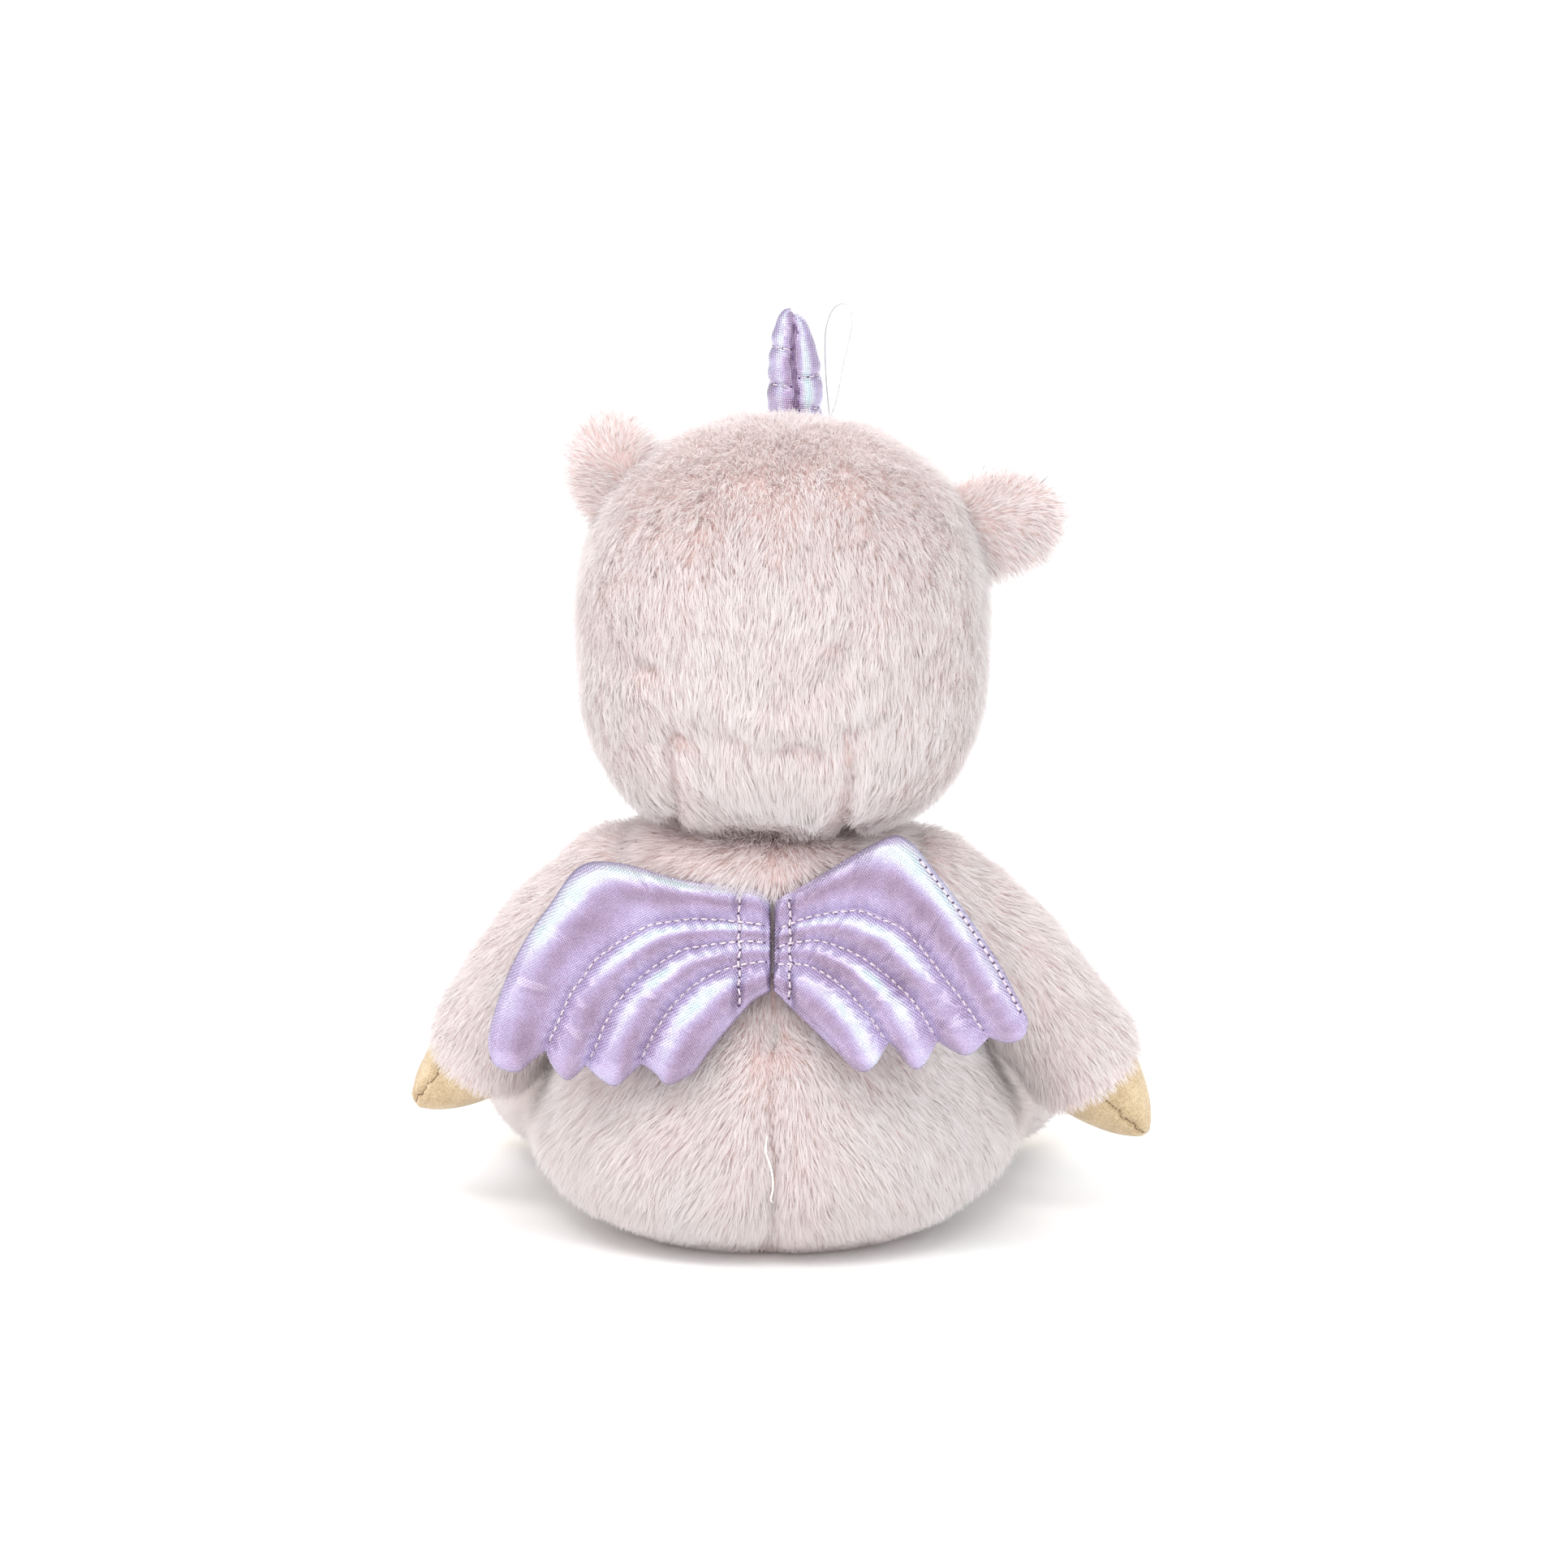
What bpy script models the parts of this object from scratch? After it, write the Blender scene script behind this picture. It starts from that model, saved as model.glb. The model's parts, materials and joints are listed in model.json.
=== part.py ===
"""Seated plush unicorn with sewn wings, built as the separate pieces it is sewn from.

Metres, +Z up. The toy sits on the flat seat at z = 0 with the seat's centre at the origin.
It faces -Y, so its left side is +X. Fur pieces are drawn at about half the depth of the pile.
"""
import math

import bmesh
import bpy
from mathutils import Matrix, Vector

# ---- driving dimensions -----------------------------------------------------------------

GAP = 0.0004                      # clearance between pieces that touch
FUR_THICK = 0.0020                # knitted backing and the lower half of the pile
SUEDE_THICK = 0.0009
FOIL_THICK = 0.0006
THREAD_R = 0.0006                 # gathering thread

# Torso: half width at each height; the depth is the width times TORSO_DEPTH.
TORSO_DEPTH = 0.84
TORSO_PROFILE = [(0.1425, 0.0), (0.141, 0.009), (0.136, 0.0175), (0.128, 0.0230),
                 (0.120, 0.0252), (0.112, 0.0300),
                 (0.103, 0.0350), (0.093, 0.0395), (0.079, 0.0468), (0.063, 0.0543),
                 (0.047, 0.0605), (0.033, 0.0635), (0.018, 0.0620), (0.006, 0.0535),
                 (0.0, 0.0420), (0.0, 0.0)]
NECK_LINE = 5                     # the profile's point where the cover ends and the neck gusset starts
GUSSET_FOOT_R = 0.0245            # radius of the gusset's flat foot on the torso stuffing
PELLET_BAG = (0.036, 0.030, 0.011)
PELLET_Z = 0.0205
PELLET_MOUTH = 0.006              # radius of the opening the bag is filled through

# Head
NECK_PIVOT = Vector((0.0, 0.0, 0.112))
NECK_SOCKET = 0.0318
NECK_RING = 0.0281
HEAD_CENTRE = Vector((-0.003, -0.002, 0.182))
HEAD_RADII = Vector((0.0570, 0.0520, 0.0570))
MUZZLE_CENTRE = Vector((-0.003, -0.050, 0.166))
MUZZLE_RADII = Vector((0.0280, 0.0190, 0.0200))
EYE_X = 0.0265
EYE_Z = 0.191
EYE_R = 0.0052
EYE_STEM_R = 0.0014
EYE_STEM_LENGTH = 0.0075
WASHER_R = 0.0050
WASHER_THICK = 0.0012
NOSTRIL_X = 0.0085
NOSTRIL_R = 0.0021

# Horn, from the centre of its rounded foot to its tip
HORN_FOOT = Vector((-0.0067, -0.0290, 0.2305))
HORN_LEAN = math.radians(4)
HORN_R = 0.0076
HORN_CLEARANCE = 0.0026
HORN_PROFILE = [(0.0400, 0.0), (0.0392, 0.0022), (0.0360, 0.0040), (0.0300, 0.0058),
                (0.0210, 0.0070), (0.0110, 0.0076), (0.0, 0.0076)]
LOOP_R = 0.00022
LOOP_ROUTE = [(-0.0168, -0.0170, 0.2402), (-0.0185, -0.0172, 0.2448), (-0.0199, -0.0180, 0.2510),
              (-0.0210, -0.0190, 0.2570), (-0.0225, -0.0205, 0.2628), (-0.0234, -0.0222, 0.2684),
              (-0.0228, -0.0240, 0.2722), (-0.0208, -0.0262, 0.2734), (-0.0180, -0.0290, 0.2715),
              (-0.0160, -0.0320, 0.2660), (-0.0156, -0.0350, 0.2595), (-0.0158, -0.0376, 0.2530),
              (-0.0162, -0.0393, 0.2465), (-0.0168, -0.0402, 0.2400), (-0.0174, -0.0405, 0.2335),
              (-0.0178, -0.0400, 0.2272)]

# Ears: direction from the head, direction across the ear, length, width, thickness
EARS = {
    "left": ((0.749, 0.0, 0.662), (0.662, 0.0, -0.749), 0.0230, 0.0300, 0.0085),
    "right": ((-0.894, 0.0, 0.447), (0.218, 0.0, 0.976), 0.0300, 0.0240, 0.0085),
}
EAR_SEAM_SHARE = 0.24             # how much of the oval is cut off where the ear is sewn on
EAR_CLEARANCE = 0.0022
EAR_AIM = {"left": (0.749, 0.05, 0.662), "right": (-0.975, 0.05, 0.218)}

# Limbs: the first point is the joint, then the middle of the limb as far as the fur goes
ARM_R = 0.0150
LEG_R = 0.0205
SOCKET_CLEARANCE = 0.0030
RING_POLAR = math.radians(148)    # where the gathering ring lies on the ball, from the limb
LIMBS = {
    "arm_left": (ARM_R, [(0.0455, 0.000, 0.1015), (0.058, -0.001, 0.091), (0.070, -0.004, 0.077),
                         (0.081, -0.008, 0.061), (0.0875, -0.012, 0.0475)], (0.095, -0.018, 0.034)),
    "arm_right": (ARM_R, [(-0.0455, 0.000, 0.1010), (-0.0585, 0.000, 0.0895), (-0.072, -0.001, 0.0755),
                          (-0.085, -0.002, 0.060), (-0.0955, -0.003, 0.0440)], (-0.106, -0.005, 0.028)),
    "leg_left": (LEG_R, [(0.052, -0.034, 0.0290), (0.059, -0.051, 0.0275), (0.066, -0.068, 0.0255),
                         (0.073, -0.085, 0.0235)], (0.082, -0.107, 0.0225)),
    "leg_right": (LEG_R, [(-0.052, -0.034, 0.0290), (-0.060, -0.051, 0.0275),
                          (-0.068, -0.068, 0.0255), (-0.076, -0.084, 0.0235)],
                  (-0.087, -0.105, 0.0225)),
}

# Wings: outline from the root round the feathers, as distance out and height on the wing
WING_ROOT = Vector((0.0, 0.0410, 0.0950))
WING_LEAN = math.radians(20)
WING_ROOT_X = 0.0022
WING_TURN = {"left": 0.0, "right": math.radians(18)}
WING_RAISE = {"left": 0.0, "right": math.radians(7)}
WING_OUTLINE = [(0.0, 0.0135), (0.0080, 0.0172), (0.0235, 0.0190), (0.0425, 0.0236),
                (0.0530, 0.0225), (0.0620, 0.0122), (0.0700, 0.0006), (0.0757, -0.0123),
                (0.0800, -0.0264), (0.0795, -0.0345), (0.0716, -0.0371), (0.0638, -0.0307),
                (0.0576, -0.0393), (0.0514, -0.0351), (0.0438, -0.0412), (0.0350, -0.0340),
                (0.0292, -0.0404), (0.0204, -0.0372), (0.0112, -0.0252), (0.0040, -0.0172),
                (0.0, -0.0125)]
WADDING_THICK = 0.0026
WADDING_INSET = 0.94

SIDES_ROUND = 20
SIDES_LIMB = 6

COLOURS = {
    "fur": (0.79, 0.68, 0.66, 1.0),
    "suede": (0.72, 0.56, 0.35, 1.0),
    "foil": (0.60, 0.50, 0.74, 1.0),
    "fibre": (0.90, 0.90, 0.88, 1.0),
    "pellets": (0.80, 0.78, 0.72, 1.0),
    "thread": (0.62, 0.50, 0.62, 1.0),
    "pale_thread": (0.88, 0.84, 0.80, 1.0),
    "eye_plastic": (0.02, 0.015, 0.015, 1.0),
    "washer_plastic": (0.85, 0.85, 0.85, 1.0),
    "nylon": (0.92, 0.92, 0.94, 1.0),
}
ROUGHNESS = {"fur": 0.95, "suede": 0.9, "foil": 0.3, "eye_plastic": 0.12, "nylon": 0.2}


# ---- helpers ----------------------------------------------------------------------------

def new_collection(name):
    collection = bpy.data.collections.new(name)
    bpy.context.scene.collection.children.link(collection)
    return collection


for old in list(bpy.data.objects):
    bpy.data.objects.remove(old, do_unlink=True)
TOY = new_collection("plush_unicorn")
CUTTERS = new_collection("cutters")
MATERIALS = {}


def material(kind):
    if kind not in MATERIALS:
        made = bpy.data.materials.new(kind)
        made.use_nodes = True
        shader = made.node_tree.nodes["Principled BSDF"]
        shader.inputs["Base Color"].default_value = COLOURS[kind]
        shader.inputs["Roughness"].default_value = ROUGHNESS.get(kind, 0.8)
        shader.inputs["Metallic"].default_value = 0.35 if kind == "foil" else 0.0
        made.diffuse_color = COLOURS[kind]
        MATERIALS[kind] = made
    return MATERIALS[kind]


def add_object(name, data, kind=None):
    """Link new object data, as a piece with a material or, without one, as a cutter."""
    obj = bpy.data.objects.new(name, data)
    if kind is None:
        CUTTERS.objects.link(obj)
        obj.hide_render = True
        obj.display_type = "WIRE"
    else:
        TOY.objects.link(obj)
        data.materials.append(material(kind))
    return obj


def mesh_from(bm, name):
    mesh = bpy.data.meshes.new(name)
    bm.to_mesh(mesh)
    bm.free()
    return mesh


def move_origin(obj, point):
    """Put an object's origin on its joint without moving its mesh."""
    obj.data.transform(Matrix.Translation(-point))
    obj.location = point


def ellipsoid(name, centre, radii, kind=None, sides=SIDES_ROUND, rings=12):
    """A stretched sphere."""
    bm = bmesh.new()
    stretch = Matrix.Diagonal((*radii, 1.0))
    bmesh.ops.create_uvsphere(bm, u_segments=sides, v_segments=rings, radius=1.0)
    bm.transform(Matrix.Translation(centre) @ stretch)
    return add_object(name, mesh_from(bm, name), kind)


def turned(name, profile, kind=None, depth=1.0, sides=SIDES_ROUND):
    """Turn a profile of (height, radius) pairs about Z; depth narrows it front to back."""
    mesh = bpy.data.meshes.new(name + "_profile")
    points = [(radius, 0.0, height) for height, radius in profile]
    mesh.from_pydata(points, [(i, i + 1) for i in range(len(points) - 1)], [])
    source = bpy.data.objects.new(name + "_profile", mesh)
    CUTTERS.objects.link(source)
    screw = source.modifiers.new("turn", "SCREW")
    screw.axis = "Z"
    screw.angle = math.tau
    screw.steps = sides
    screw.render_steps = sides
    screw.use_merge_vertices = True
    screw.merge_threshold = 0.00001
    graph = bpy.context.evaluated_depsgraph_get()
    solid = bpy.data.meshes.new_from_object(source.evaluated_get(graph))
    bpy.data.objects.remove(source, do_unlink=True)
    solid.transform(Matrix.Diagonal((1.0, depth, 1.0, 1.0)))
    return add_object(name, solid, kind)


def frame_along(direction):
    """Rotation that turns +Z onto a direction."""
    return Vector((0, 0, 1)).rotation_difference(direction).to_matrix().to_4x4()


def sleeve(name, centres, radii, kind, close_start, close_end, last_direction=None):
    """A soft tube through circles of the given radii, closed or open at either end."""
    bm = bmesh.new()
    loops = []
    for i, centre in enumerate(centres):
        ahead = centres[min(i + 1, len(centres) - 1)]
        behind = centres[max(i - 1, 0)]
        direction = ahead - behind
        if last_direction and centre is centres[-1]:
            direction = last_direction
        place = Matrix.Translation(centre) @ frame_along(direction)
        made = bmesh.ops.create_circle(bm, cap_ends=False, radius=radii[i],
                                       segments=SIDES_LIMB, matrix=place)
        corners = set(made["verts"])
        loops.append([edge for edge in bm.edges if set(edge.verts) <= corners])
    for first, second in zip(loops, loops[1:]):
        bmesh.ops.bridge_loops(bm, edges=first + second)
    if close_start:
        bmesh.ops.contextual_create(bm, geom=loops[0])
    if close_end:
        bmesh.ops.contextual_create(bm, geom=loops[-1])
    bmesh.ops.recalc_face_normals(bm, faces=bm.faces)
    obj = add_object(name, mesh_from(bm, name), kind)
    smooth = obj.modifiers.new("smooth", "SUBSURF")
    smooth.levels = 1
    smooth.render_levels = 1
    return obj


def thicken(obj, thickness):
    """Make an open surface a shell whose outside stays where it is."""
    shell = obj.modifiers.new("shell", "SOLIDIFY")
    shell.thickness = thickness
    shell.offset = -1.0
    shell.use_even_offset = False


def cut(obj, *cutters):
    for cutter in cutters:
        boolean = obj.modifiers.new("cut_" + cutter.name, "BOOLEAN")
        boolean.operation = "DIFFERENCE"
        boolean.solver = "EXACT"
        boolean.object = cutter


def thread(name, points, radius, kind, cyclic=False):
    """A round thread or wire through the points."""
    curve = bpy.data.curves.new(name, "CURVE")
    curve.dimensions = "3D"
    curve.bevel_depth = radius
    curve.bevel_resolution = 0 if cyclic else 1
    curve.use_fill_caps = True
    spline = curve.splines.new("POLY")
    spline.points.add(len(points) - 1)
    for corner, point in zip(spline.points, points):
        corner.co = (*point, 1.0)
    spline.use_cyclic_u = cyclic
    return add_object(name, curve, kind)


def ring(name, centre, axis, radius, wire, kind):
    """A closed ring of thread about an axis."""
    steps = 16
    place = Matrix.Translation(centre) @ frame_along(axis)
    turns = [math.tau * i / steps for i in range(steps)]
    points = [place @ Vector((radius * math.cos(t), radius * math.sin(t), 0.0)) for t in turns]
    return thread(name, points, wire, kind, cyclic=True)


def smooth_route(points, steps):
    """Points on a smooth curve through the route's own points."""
    route = [Vector(p) for p in points]
    route = [2 * route[0] - route[1], *route, 2 * route[-1] - route[-2]]
    result = []
    for a, b, c, d in zip(route, route[1:], route[2:], route[3:]):
        for i in range(steps):
            t = i / steps
            result.append(0.5 * (2 * b + (c - a) * t + (2 * a - 5 * b + 4 * c - d) * t * t
                                 + (3 * b - a - 3 * c + d) * t ** 3))
    return result + [route[-2]]


def head_surface_y(x, z, grow=0.0):
    """Y of the front of the head at a given x and z."""
    radii = HEAD_RADII + Vector((grow, grow, grow))
    across = (x - HEAD_CENTRE.x) / radii.x
    up = (z - HEAD_CENTRE.z) / radii.z
    return HEAD_CENTRE.y - radii.y * math.sqrt(1.0 - across * across - up * up)


def muzzle_surface_y(x, z, grow=0.0):
    """Y of the front of the muzzle at a given x and z."""
    radii = MUZZLE_RADII + Vector((grow, grow, grow))
    across = (x - MUZZLE_CENTRE.x) / radii.x
    up = (z - MUZZLE_CENTRE.z) / radii.z
    return MUZZLE_CENTRE.y - radii.y * math.sqrt(1.0 - across * across - up * up)


# ---- torso ------------------------------------------------------------------------------

def torso_half_width(height):
    """Half width of the torso at a height, read from its profile."""
    for (top, r_top), (bottom, r_bottom) in zip(TORSO_PROFILE, TORSO_PROFILE[1:]):
        if bottom <= height <= top and top > bottom:
            share = (height - bottom) / (top - bottom)
            return r_bottom + share * (r_top - r_bottom)
    return 0.0


def inset_profile(profile, distance):
    """The closed filling that fits inside a turned shell at a distance from its outside."""
    moved = [(profile[0][0] - GAP, 0.0)]
    for i, (height, radius) in enumerate(profile[:-1]):
        above = profile[max(i - 1, 0)]
        below = profile[i + 1]
        run = Vector((above[0] - below[0], (below[1] - above[1]) * TORSO_DEPTH)).normalized()
        drop = distance * run.y if i else GAP
        moved.append((height - drop, radius - distance * run.x / TORSO_DEPTH))
    height, radius = moved[-1]
    moved[-1] = (distance, radius)
    return moved + [(distance, 0.0)]


def torso(sockets):
    cover = turned("torso_fur_cover", TORSO_PROFILE[NECK_LINE:], "fur", TORSO_DEPTH)
    thicken(cover, FUR_THICK)
    stuffing = turned("torso_stuffing", inset_profile(TORSO_PROFILE[NECK_LINE:], FUR_THICK + 2 * GAP),
                      "fibre", TORSO_DEPTH)
    bag_place = Vector((0.0, 0.0, PELLET_Z))
    bag = ellipsoid("pellet_bag", bag_place, PELLET_BAG, "pellets", 16, 8)
    bag_room = ellipsoid("pellet_room", bag_place, [r + GAP for r in PELLET_BAG], None, 16, 8)
    mouth_line = [(PELLET_Z, PELLET_MOUTH), (-0.01, PELLET_MOUTH)]
    bag_mouth = turned("pellet_mouth", mouth_line, None, 1.0, 8)
    close_ends(bag_mouth)
    cut(stuffing, bag_room, bag_mouth, *sockets)
    cut(cover, *sockets)
    foot = TORSO_PROFILE[NECK_LINE][0] + GAP
    stub = turned("neck_gusset", TORSO_PROFILE[:NECK_LINE] + [(foot, GUSSET_FOOT_R), (foot, 0.0)],
                  "fur", TORSO_DEPTH)
    return cover, stuffing, bag, stub


def close_ends(obj):
    """Fill the open ends of a tube-like cutter."""
    bm = bmesh.new()
    bm.from_mesh(obj.data)
    bmesh.ops.holes_fill(bm, edges=bm.edges)
    bmesh.ops.recalc_face_normals(bm, faces=bm.faces)
    bm.to_mesh(obj.data)
    bm.free()


def back_seam():
    """The closing seam's thread down the middle of the lower back."""
    points = []
    for i in range(8):
        height = 0.0400 - i * 0.0030
        sway = 0.0012 * math.cos(i * 0.45)
        back = torso_half_width(height) * TORSO_DEPTH + GAP + 0.0006
        points.append((sway, back, height))
    thread("back_seam_thread", points, 0.0004, "pale_thread")


# ---- limbs ------------------------------------------------------------------------------

def limb_socket(name):
    radius, path, _ = LIMBS[name]
    return ellipsoid(name + "_socket", Vector(path[0]), [radius + SOCKET_CLEARANCE] * 3, None, 14, 8)


def limb(name):
    """Fur sleeve with a ball-shaped root, suede hoof cap and the filling inside both."""
    radius, path, tip = LIMBS[name]
    path = [Vector(p) for p in path]
    tip = Vector(tip)
    pivot = path[0]
    start = (path[1] - path[0]).normalized()
    end = (tip - path[-1]).normalized()

    def root(r):
        angles = [math.radians(a) for a in (158, 125)]
        return ([pivot + start * r * math.cos(a) for a in angles],
                [r * math.sin(a) for a in angles])

    taper = [1.0 - 0.05 * i for i in range(len(path))]
    centres, radii = root(radius)
    centres += path
    radii += [radius * t for t in taper]
    fur = sleeve(name + "_fur_sleeve", centres, radii, "fur", True, False, end)
    thicken(fur, FUR_THICK)
    move_origin(fur, pivot)

    seam_r = radius * taper[-1]
    seam = path[-1] + end * GAP
    reach = (tip - path[-1]).length
    stations = ((0.0, 1.0), (0.35, 0.98), (0.75, 0.82), (1.0, 0.42))
    hoof = sleeve(name + "_hoof_cap", [seam + end * reach * s for s, _ in stations],
                  [seam_r * k for _, k in stations], "suede", False, True)
    thicken(hoof, SUEDE_THICK)
    move_origin(hoof, pivot)

    inset = FUR_THICK + 2 * GAP + 0.0008
    centres, radii = root(radius - inset)
    centres += path + [seam + end * reach * s for s in (0.35, 0.75, 0.92)]
    radii += [radius * t - inset for t in taper]
    radii += [seam_r * k - inset for k in (0.98, 0.82, 0.45)]
    filling = sleeve(name + "_stuffing", centres, radii, "fibre", True, True)
    move_origin(filling, pivot)

    ball = radius + SOCKET_CLEARANCE * 0.4
    joint = "shoulder" if name.startswith("arm") else "hip"
    side = name.split("_")[1]
    ring_centre = pivot + start * ball * math.cos(RING_POLAR)
    ring(f"{joint}_{side}_gathering", ring_centre, start, ball * math.sin(RING_POLAR), THREAD_R,
         "pale_thread")


# ---- head -------------------------------------------------------------------------------

def head():
    neck = ellipsoid("neck_socket", NECK_PIVOT, [NECK_SOCKET] * 3, None, 18, 10)
    horn_room = ellipsoid("horn_socket", HORN_FOOT, [HORN_R + HORN_CLEARANCE] * 3, None, 14, 8)
    cover = ellipsoid("head_fur_cover", HEAD_CENTRE, HEAD_RADII, "fur")
    inner = Vector([r - FUR_THICK for r in HEAD_RADII])
    hollow = ellipsoid("head_hollow", HEAD_CENTRE, inner)
    filling = ellipsoid("head_stuffing", HEAD_CENTRE, [r - GAP for r in inner], "fibre")
    cut(cover, hollow, neck, horn_room)
    cut(filling, neck, horn_room)
    ring("neck_gathering", NECK_PIVOT + Vector((0, 0, 0.006)), Vector((0, 0, 1)), NECK_RING,
         THREAD_R, "pale_thread")

    face_room = ellipsoid("face_room", HEAD_CENTRE, [r + GAP for r in HEAD_RADII])
    muzzle = ellipsoid("muzzle_cover", MUZZLE_CENTRE, MUZZLE_RADII, "suede", 18, 10)
    muzzle_in = Vector([r - SUEDE_THICK for r in MUZZLE_RADII])
    muzzle_hollow = ellipsoid("muzzle_hollow", MUZZLE_CENTRE, muzzle_in, None, 18, 10)
    muzzle_filling = ellipsoid("muzzle_stuffing", MUZZLE_CENTRE, [r - GAP for r in muzzle_in],
                               "fibre", 18, 10)
    cut(muzzle, muzzle_hollow, face_room)
    cut(muzzle_filling, face_room)

    for side, sign in (("left", 1), ("right", -1)):
        eye(side, sign, cover, filling)
    face_stitches()
    thread("hang_loop", smooth_route(LOOP_ROUTE, 2), LOOP_R, "nylon")


def eye(side, sign, cover, filling):
    """A safety eye: domed button on a stem, with its lock washer behind the cover."""
    x = HEAD_CENTRE.x + sign * EYE_X
    front = Vector((x, head_surface_y(x, EYE_Z), EYE_Z))
    slope = front - HEAD_CENTRE
    radii = HEAD_RADII
    out = Vector((slope.x / radii.x ** 2, slope.y / radii.y ** 2, slope.z / radii.z ** 2)).normalized()
    turn = frame_along(out)
    seat = front + out * GAP

    dome = [(0.0030, 0.0), (0.0026, EYE_R * 0.55), (0.0014, EYE_R * 0.9), (0.0, EYE_R),
            (0.0, EYE_STEM_R), (-EYE_STEM_LENGTH, EYE_STEM_R), (-EYE_STEM_LENGTH, 0.0)]
    button = turned("eye_" + side, dome, "eye_plastic", 1.0, 12)
    button.data.transform(Matrix.Translation(seat) @ turn)
    inside = seat - out * (FUR_THICK + 3 * GAP + WASHER_THICK + 0.0006)
    plate = [(WASHER_THICK, EYE_STEM_R + GAP), (WASHER_THICK, WASHER_R), (0.0, WASHER_R),
             (0.0, EYE_STEM_R + GAP), (WASHER_THICK, EYE_STEM_R + GAP)]
    washer = turned("eye_washer_" + side, plate, "washer_plastic", 1.0, 10)
    washer.data.transform(Matrix.Translation(inside) @ turn)
    weld_double_points(washer)
    hole = cylinder("eye_hole_" + side, seat - out * 0.004, turn, EYE_STEM_R + GAP, 0.012)
    room = cylinder("eye_room_" + side, inside + out * 0.002, turn, WASHER_R + GAP, 0.0052)
    shaft = cylinder("eye_shaft_" + side, inside, turn, EYE_STEM_R + GAP, 0.016)
    cut(cover, hole)
    cut(filling, room, shaft)


def weld_double_points(obj):
    bm = bmesh.new()
    bm.from_mesh(obj.data)
    bmesh.ops.remove_doubles(bm, verts=bm.verts, dist=0.00001)
    bmesh.ops.recalc_face_normals(bm, faces=bm.faces)
    bm.to_mesh(obj.data)
    bm.free()


def cylinder(name, centre, turn, radius, length, kind=None):
    bm = bmesh.new()
    bmesh.ops.create_cone(bm, cap_ends=True, segments=12, radius1=radius, radius2=radius,
                          depth=length)
    bm.transform(Matrix.Translation(centre) @ turn)
    return add_object(name, mesh_from(bm, name), kind)


def face_stitches():
    """Two embroidered nostrils and a short curved mouth on the muzzle."""
    for side, sign in (("left", 1), ("right", -1)):
        x = MUZZLE_CENTRE.x + sign * NOSTRIL_X
        z = MUZZLE_CENTRE.z + 0.003
        y = muzzle_surface_y(x, z) - 0.0011 - GAP
        ellipsoid("nostril_" + side, Vector((x, y, z)), (NOSTRIL_R, 0.0008, NOSTRIL_R * 1.3),
                  "thread", 10, 6)
    points = []
    for i in range(9):
        x = (i - 4) * 0.0024
        z = MUZZLE_CENTRE.z - 0.0070 + 55.0 * x * x
        points.append((MUZZLE_CENTRE.x + x, muzzle_surface_y(MUZZLE_CENTRE.x + x, z) - 0.0010, z))
    thread("mouth_stitch", points, 0.0005, "thread")


def horn():
    """Foil horn: a sewn cone with a rounded foot, filled."""
    angles = [math.radians(a) for a in (25, 50)]
    foot = [(-HORN_R * math.sin(a), HORN_R * math.cos(a)) for a in angles]
    place = Matrix.Translation(HORN_FOOT) @ Matrix.Rotation(HORN_LEAN, 4, "X")
    cover = turned("horn_cover", HORN_PROFILE + foot, "foil", 1.0, 14)
    thicken(cover, FOIL_THICK)
    inset = FOIL_THICK + GAP
    body = [(HORN_PROFILE[0][0] - 0.0020, 0.0)]
    body += [(h - 0.0016, r - inset) for h, r in HORN_PROFILE[1:-1]]
    body += [(0.0, HORN_R - inset)] + [(h * 0.95, r - inset) for h, r in foot] + [(foot[-1][0], 0.0)]
    filling = turned("horn_stuffing", body, "fibre", 1.0, 12)
    for obj in (cover, filling):
        obj.matrix_world = place


def ear(side):
    """A flat padded ear: fur at the back and lining in front, sewn round the edge."""
    reach, across, length, width, thick = EARS[side]
    reach = Vector(reach).normalized()
    aim = Vector(EAR_AIM[side]).normalized()
    scale = 1.0 / math.sqrt(sum((reach[i] / HEAD_RADII[i]) ** 2 for i in range(3)))
    root = HEAD_CENTRE + reach * (scale + EAR_CLEARANCE)
    across = (Vector(across) - aim * Vector(across).dot(aim)).normalized()
    normal = aim.cross(across)
    axes = Matrix((aim, across, normal)).transposed()
    whole = length / (1.0 - EAR_SEAM_SHARE)
    front = 1 if normal.y < 0 else -1
    for name, sign in ((f"ear_{side}_lining", front), (f"ear_{side}_fur", -front)):
        half = ellipsoid(name, Vector((length - whole / 2, 0, 0)), (whole / 2, width / 2, thick / 2),
                         "suede" if name.endswith("lining") else "fur", 14, 8)
        slice_off(half, Vector((0, 0, sign * GAP / 2)), Vector((0, 0, sign)))
        slice_off(half, Vector((0, 0, 0)), Vector((1, 0, 0)))
        half.data.transform(Matrix.Translation(root) @ axes.to_4x4())
        move_origin(half, root)


def slice_off(obj, point, normal):
    """Keep the part of a closed body that the normal points to, and close it flat."""
    bm = bmesh.new()
    bm.from_mesh(obj.data)
    everything = bm.verts[:] + bm.edges[:] + bm.faces[:]
    bmesh.ops.bisect_plane(bm, geom=everything, plane_co=point, plane_no=normal, clear_inner=True)
    bmesh.ops.holes_fill(bm, edges=bm.edges)
    bmesh.ops.recalc_face_normals(bm, faces=bm.faces)
    bm.to_mesh(obj.data)
    bm.free()


# ---- wings ------------------------------------------------------------------------------

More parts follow.
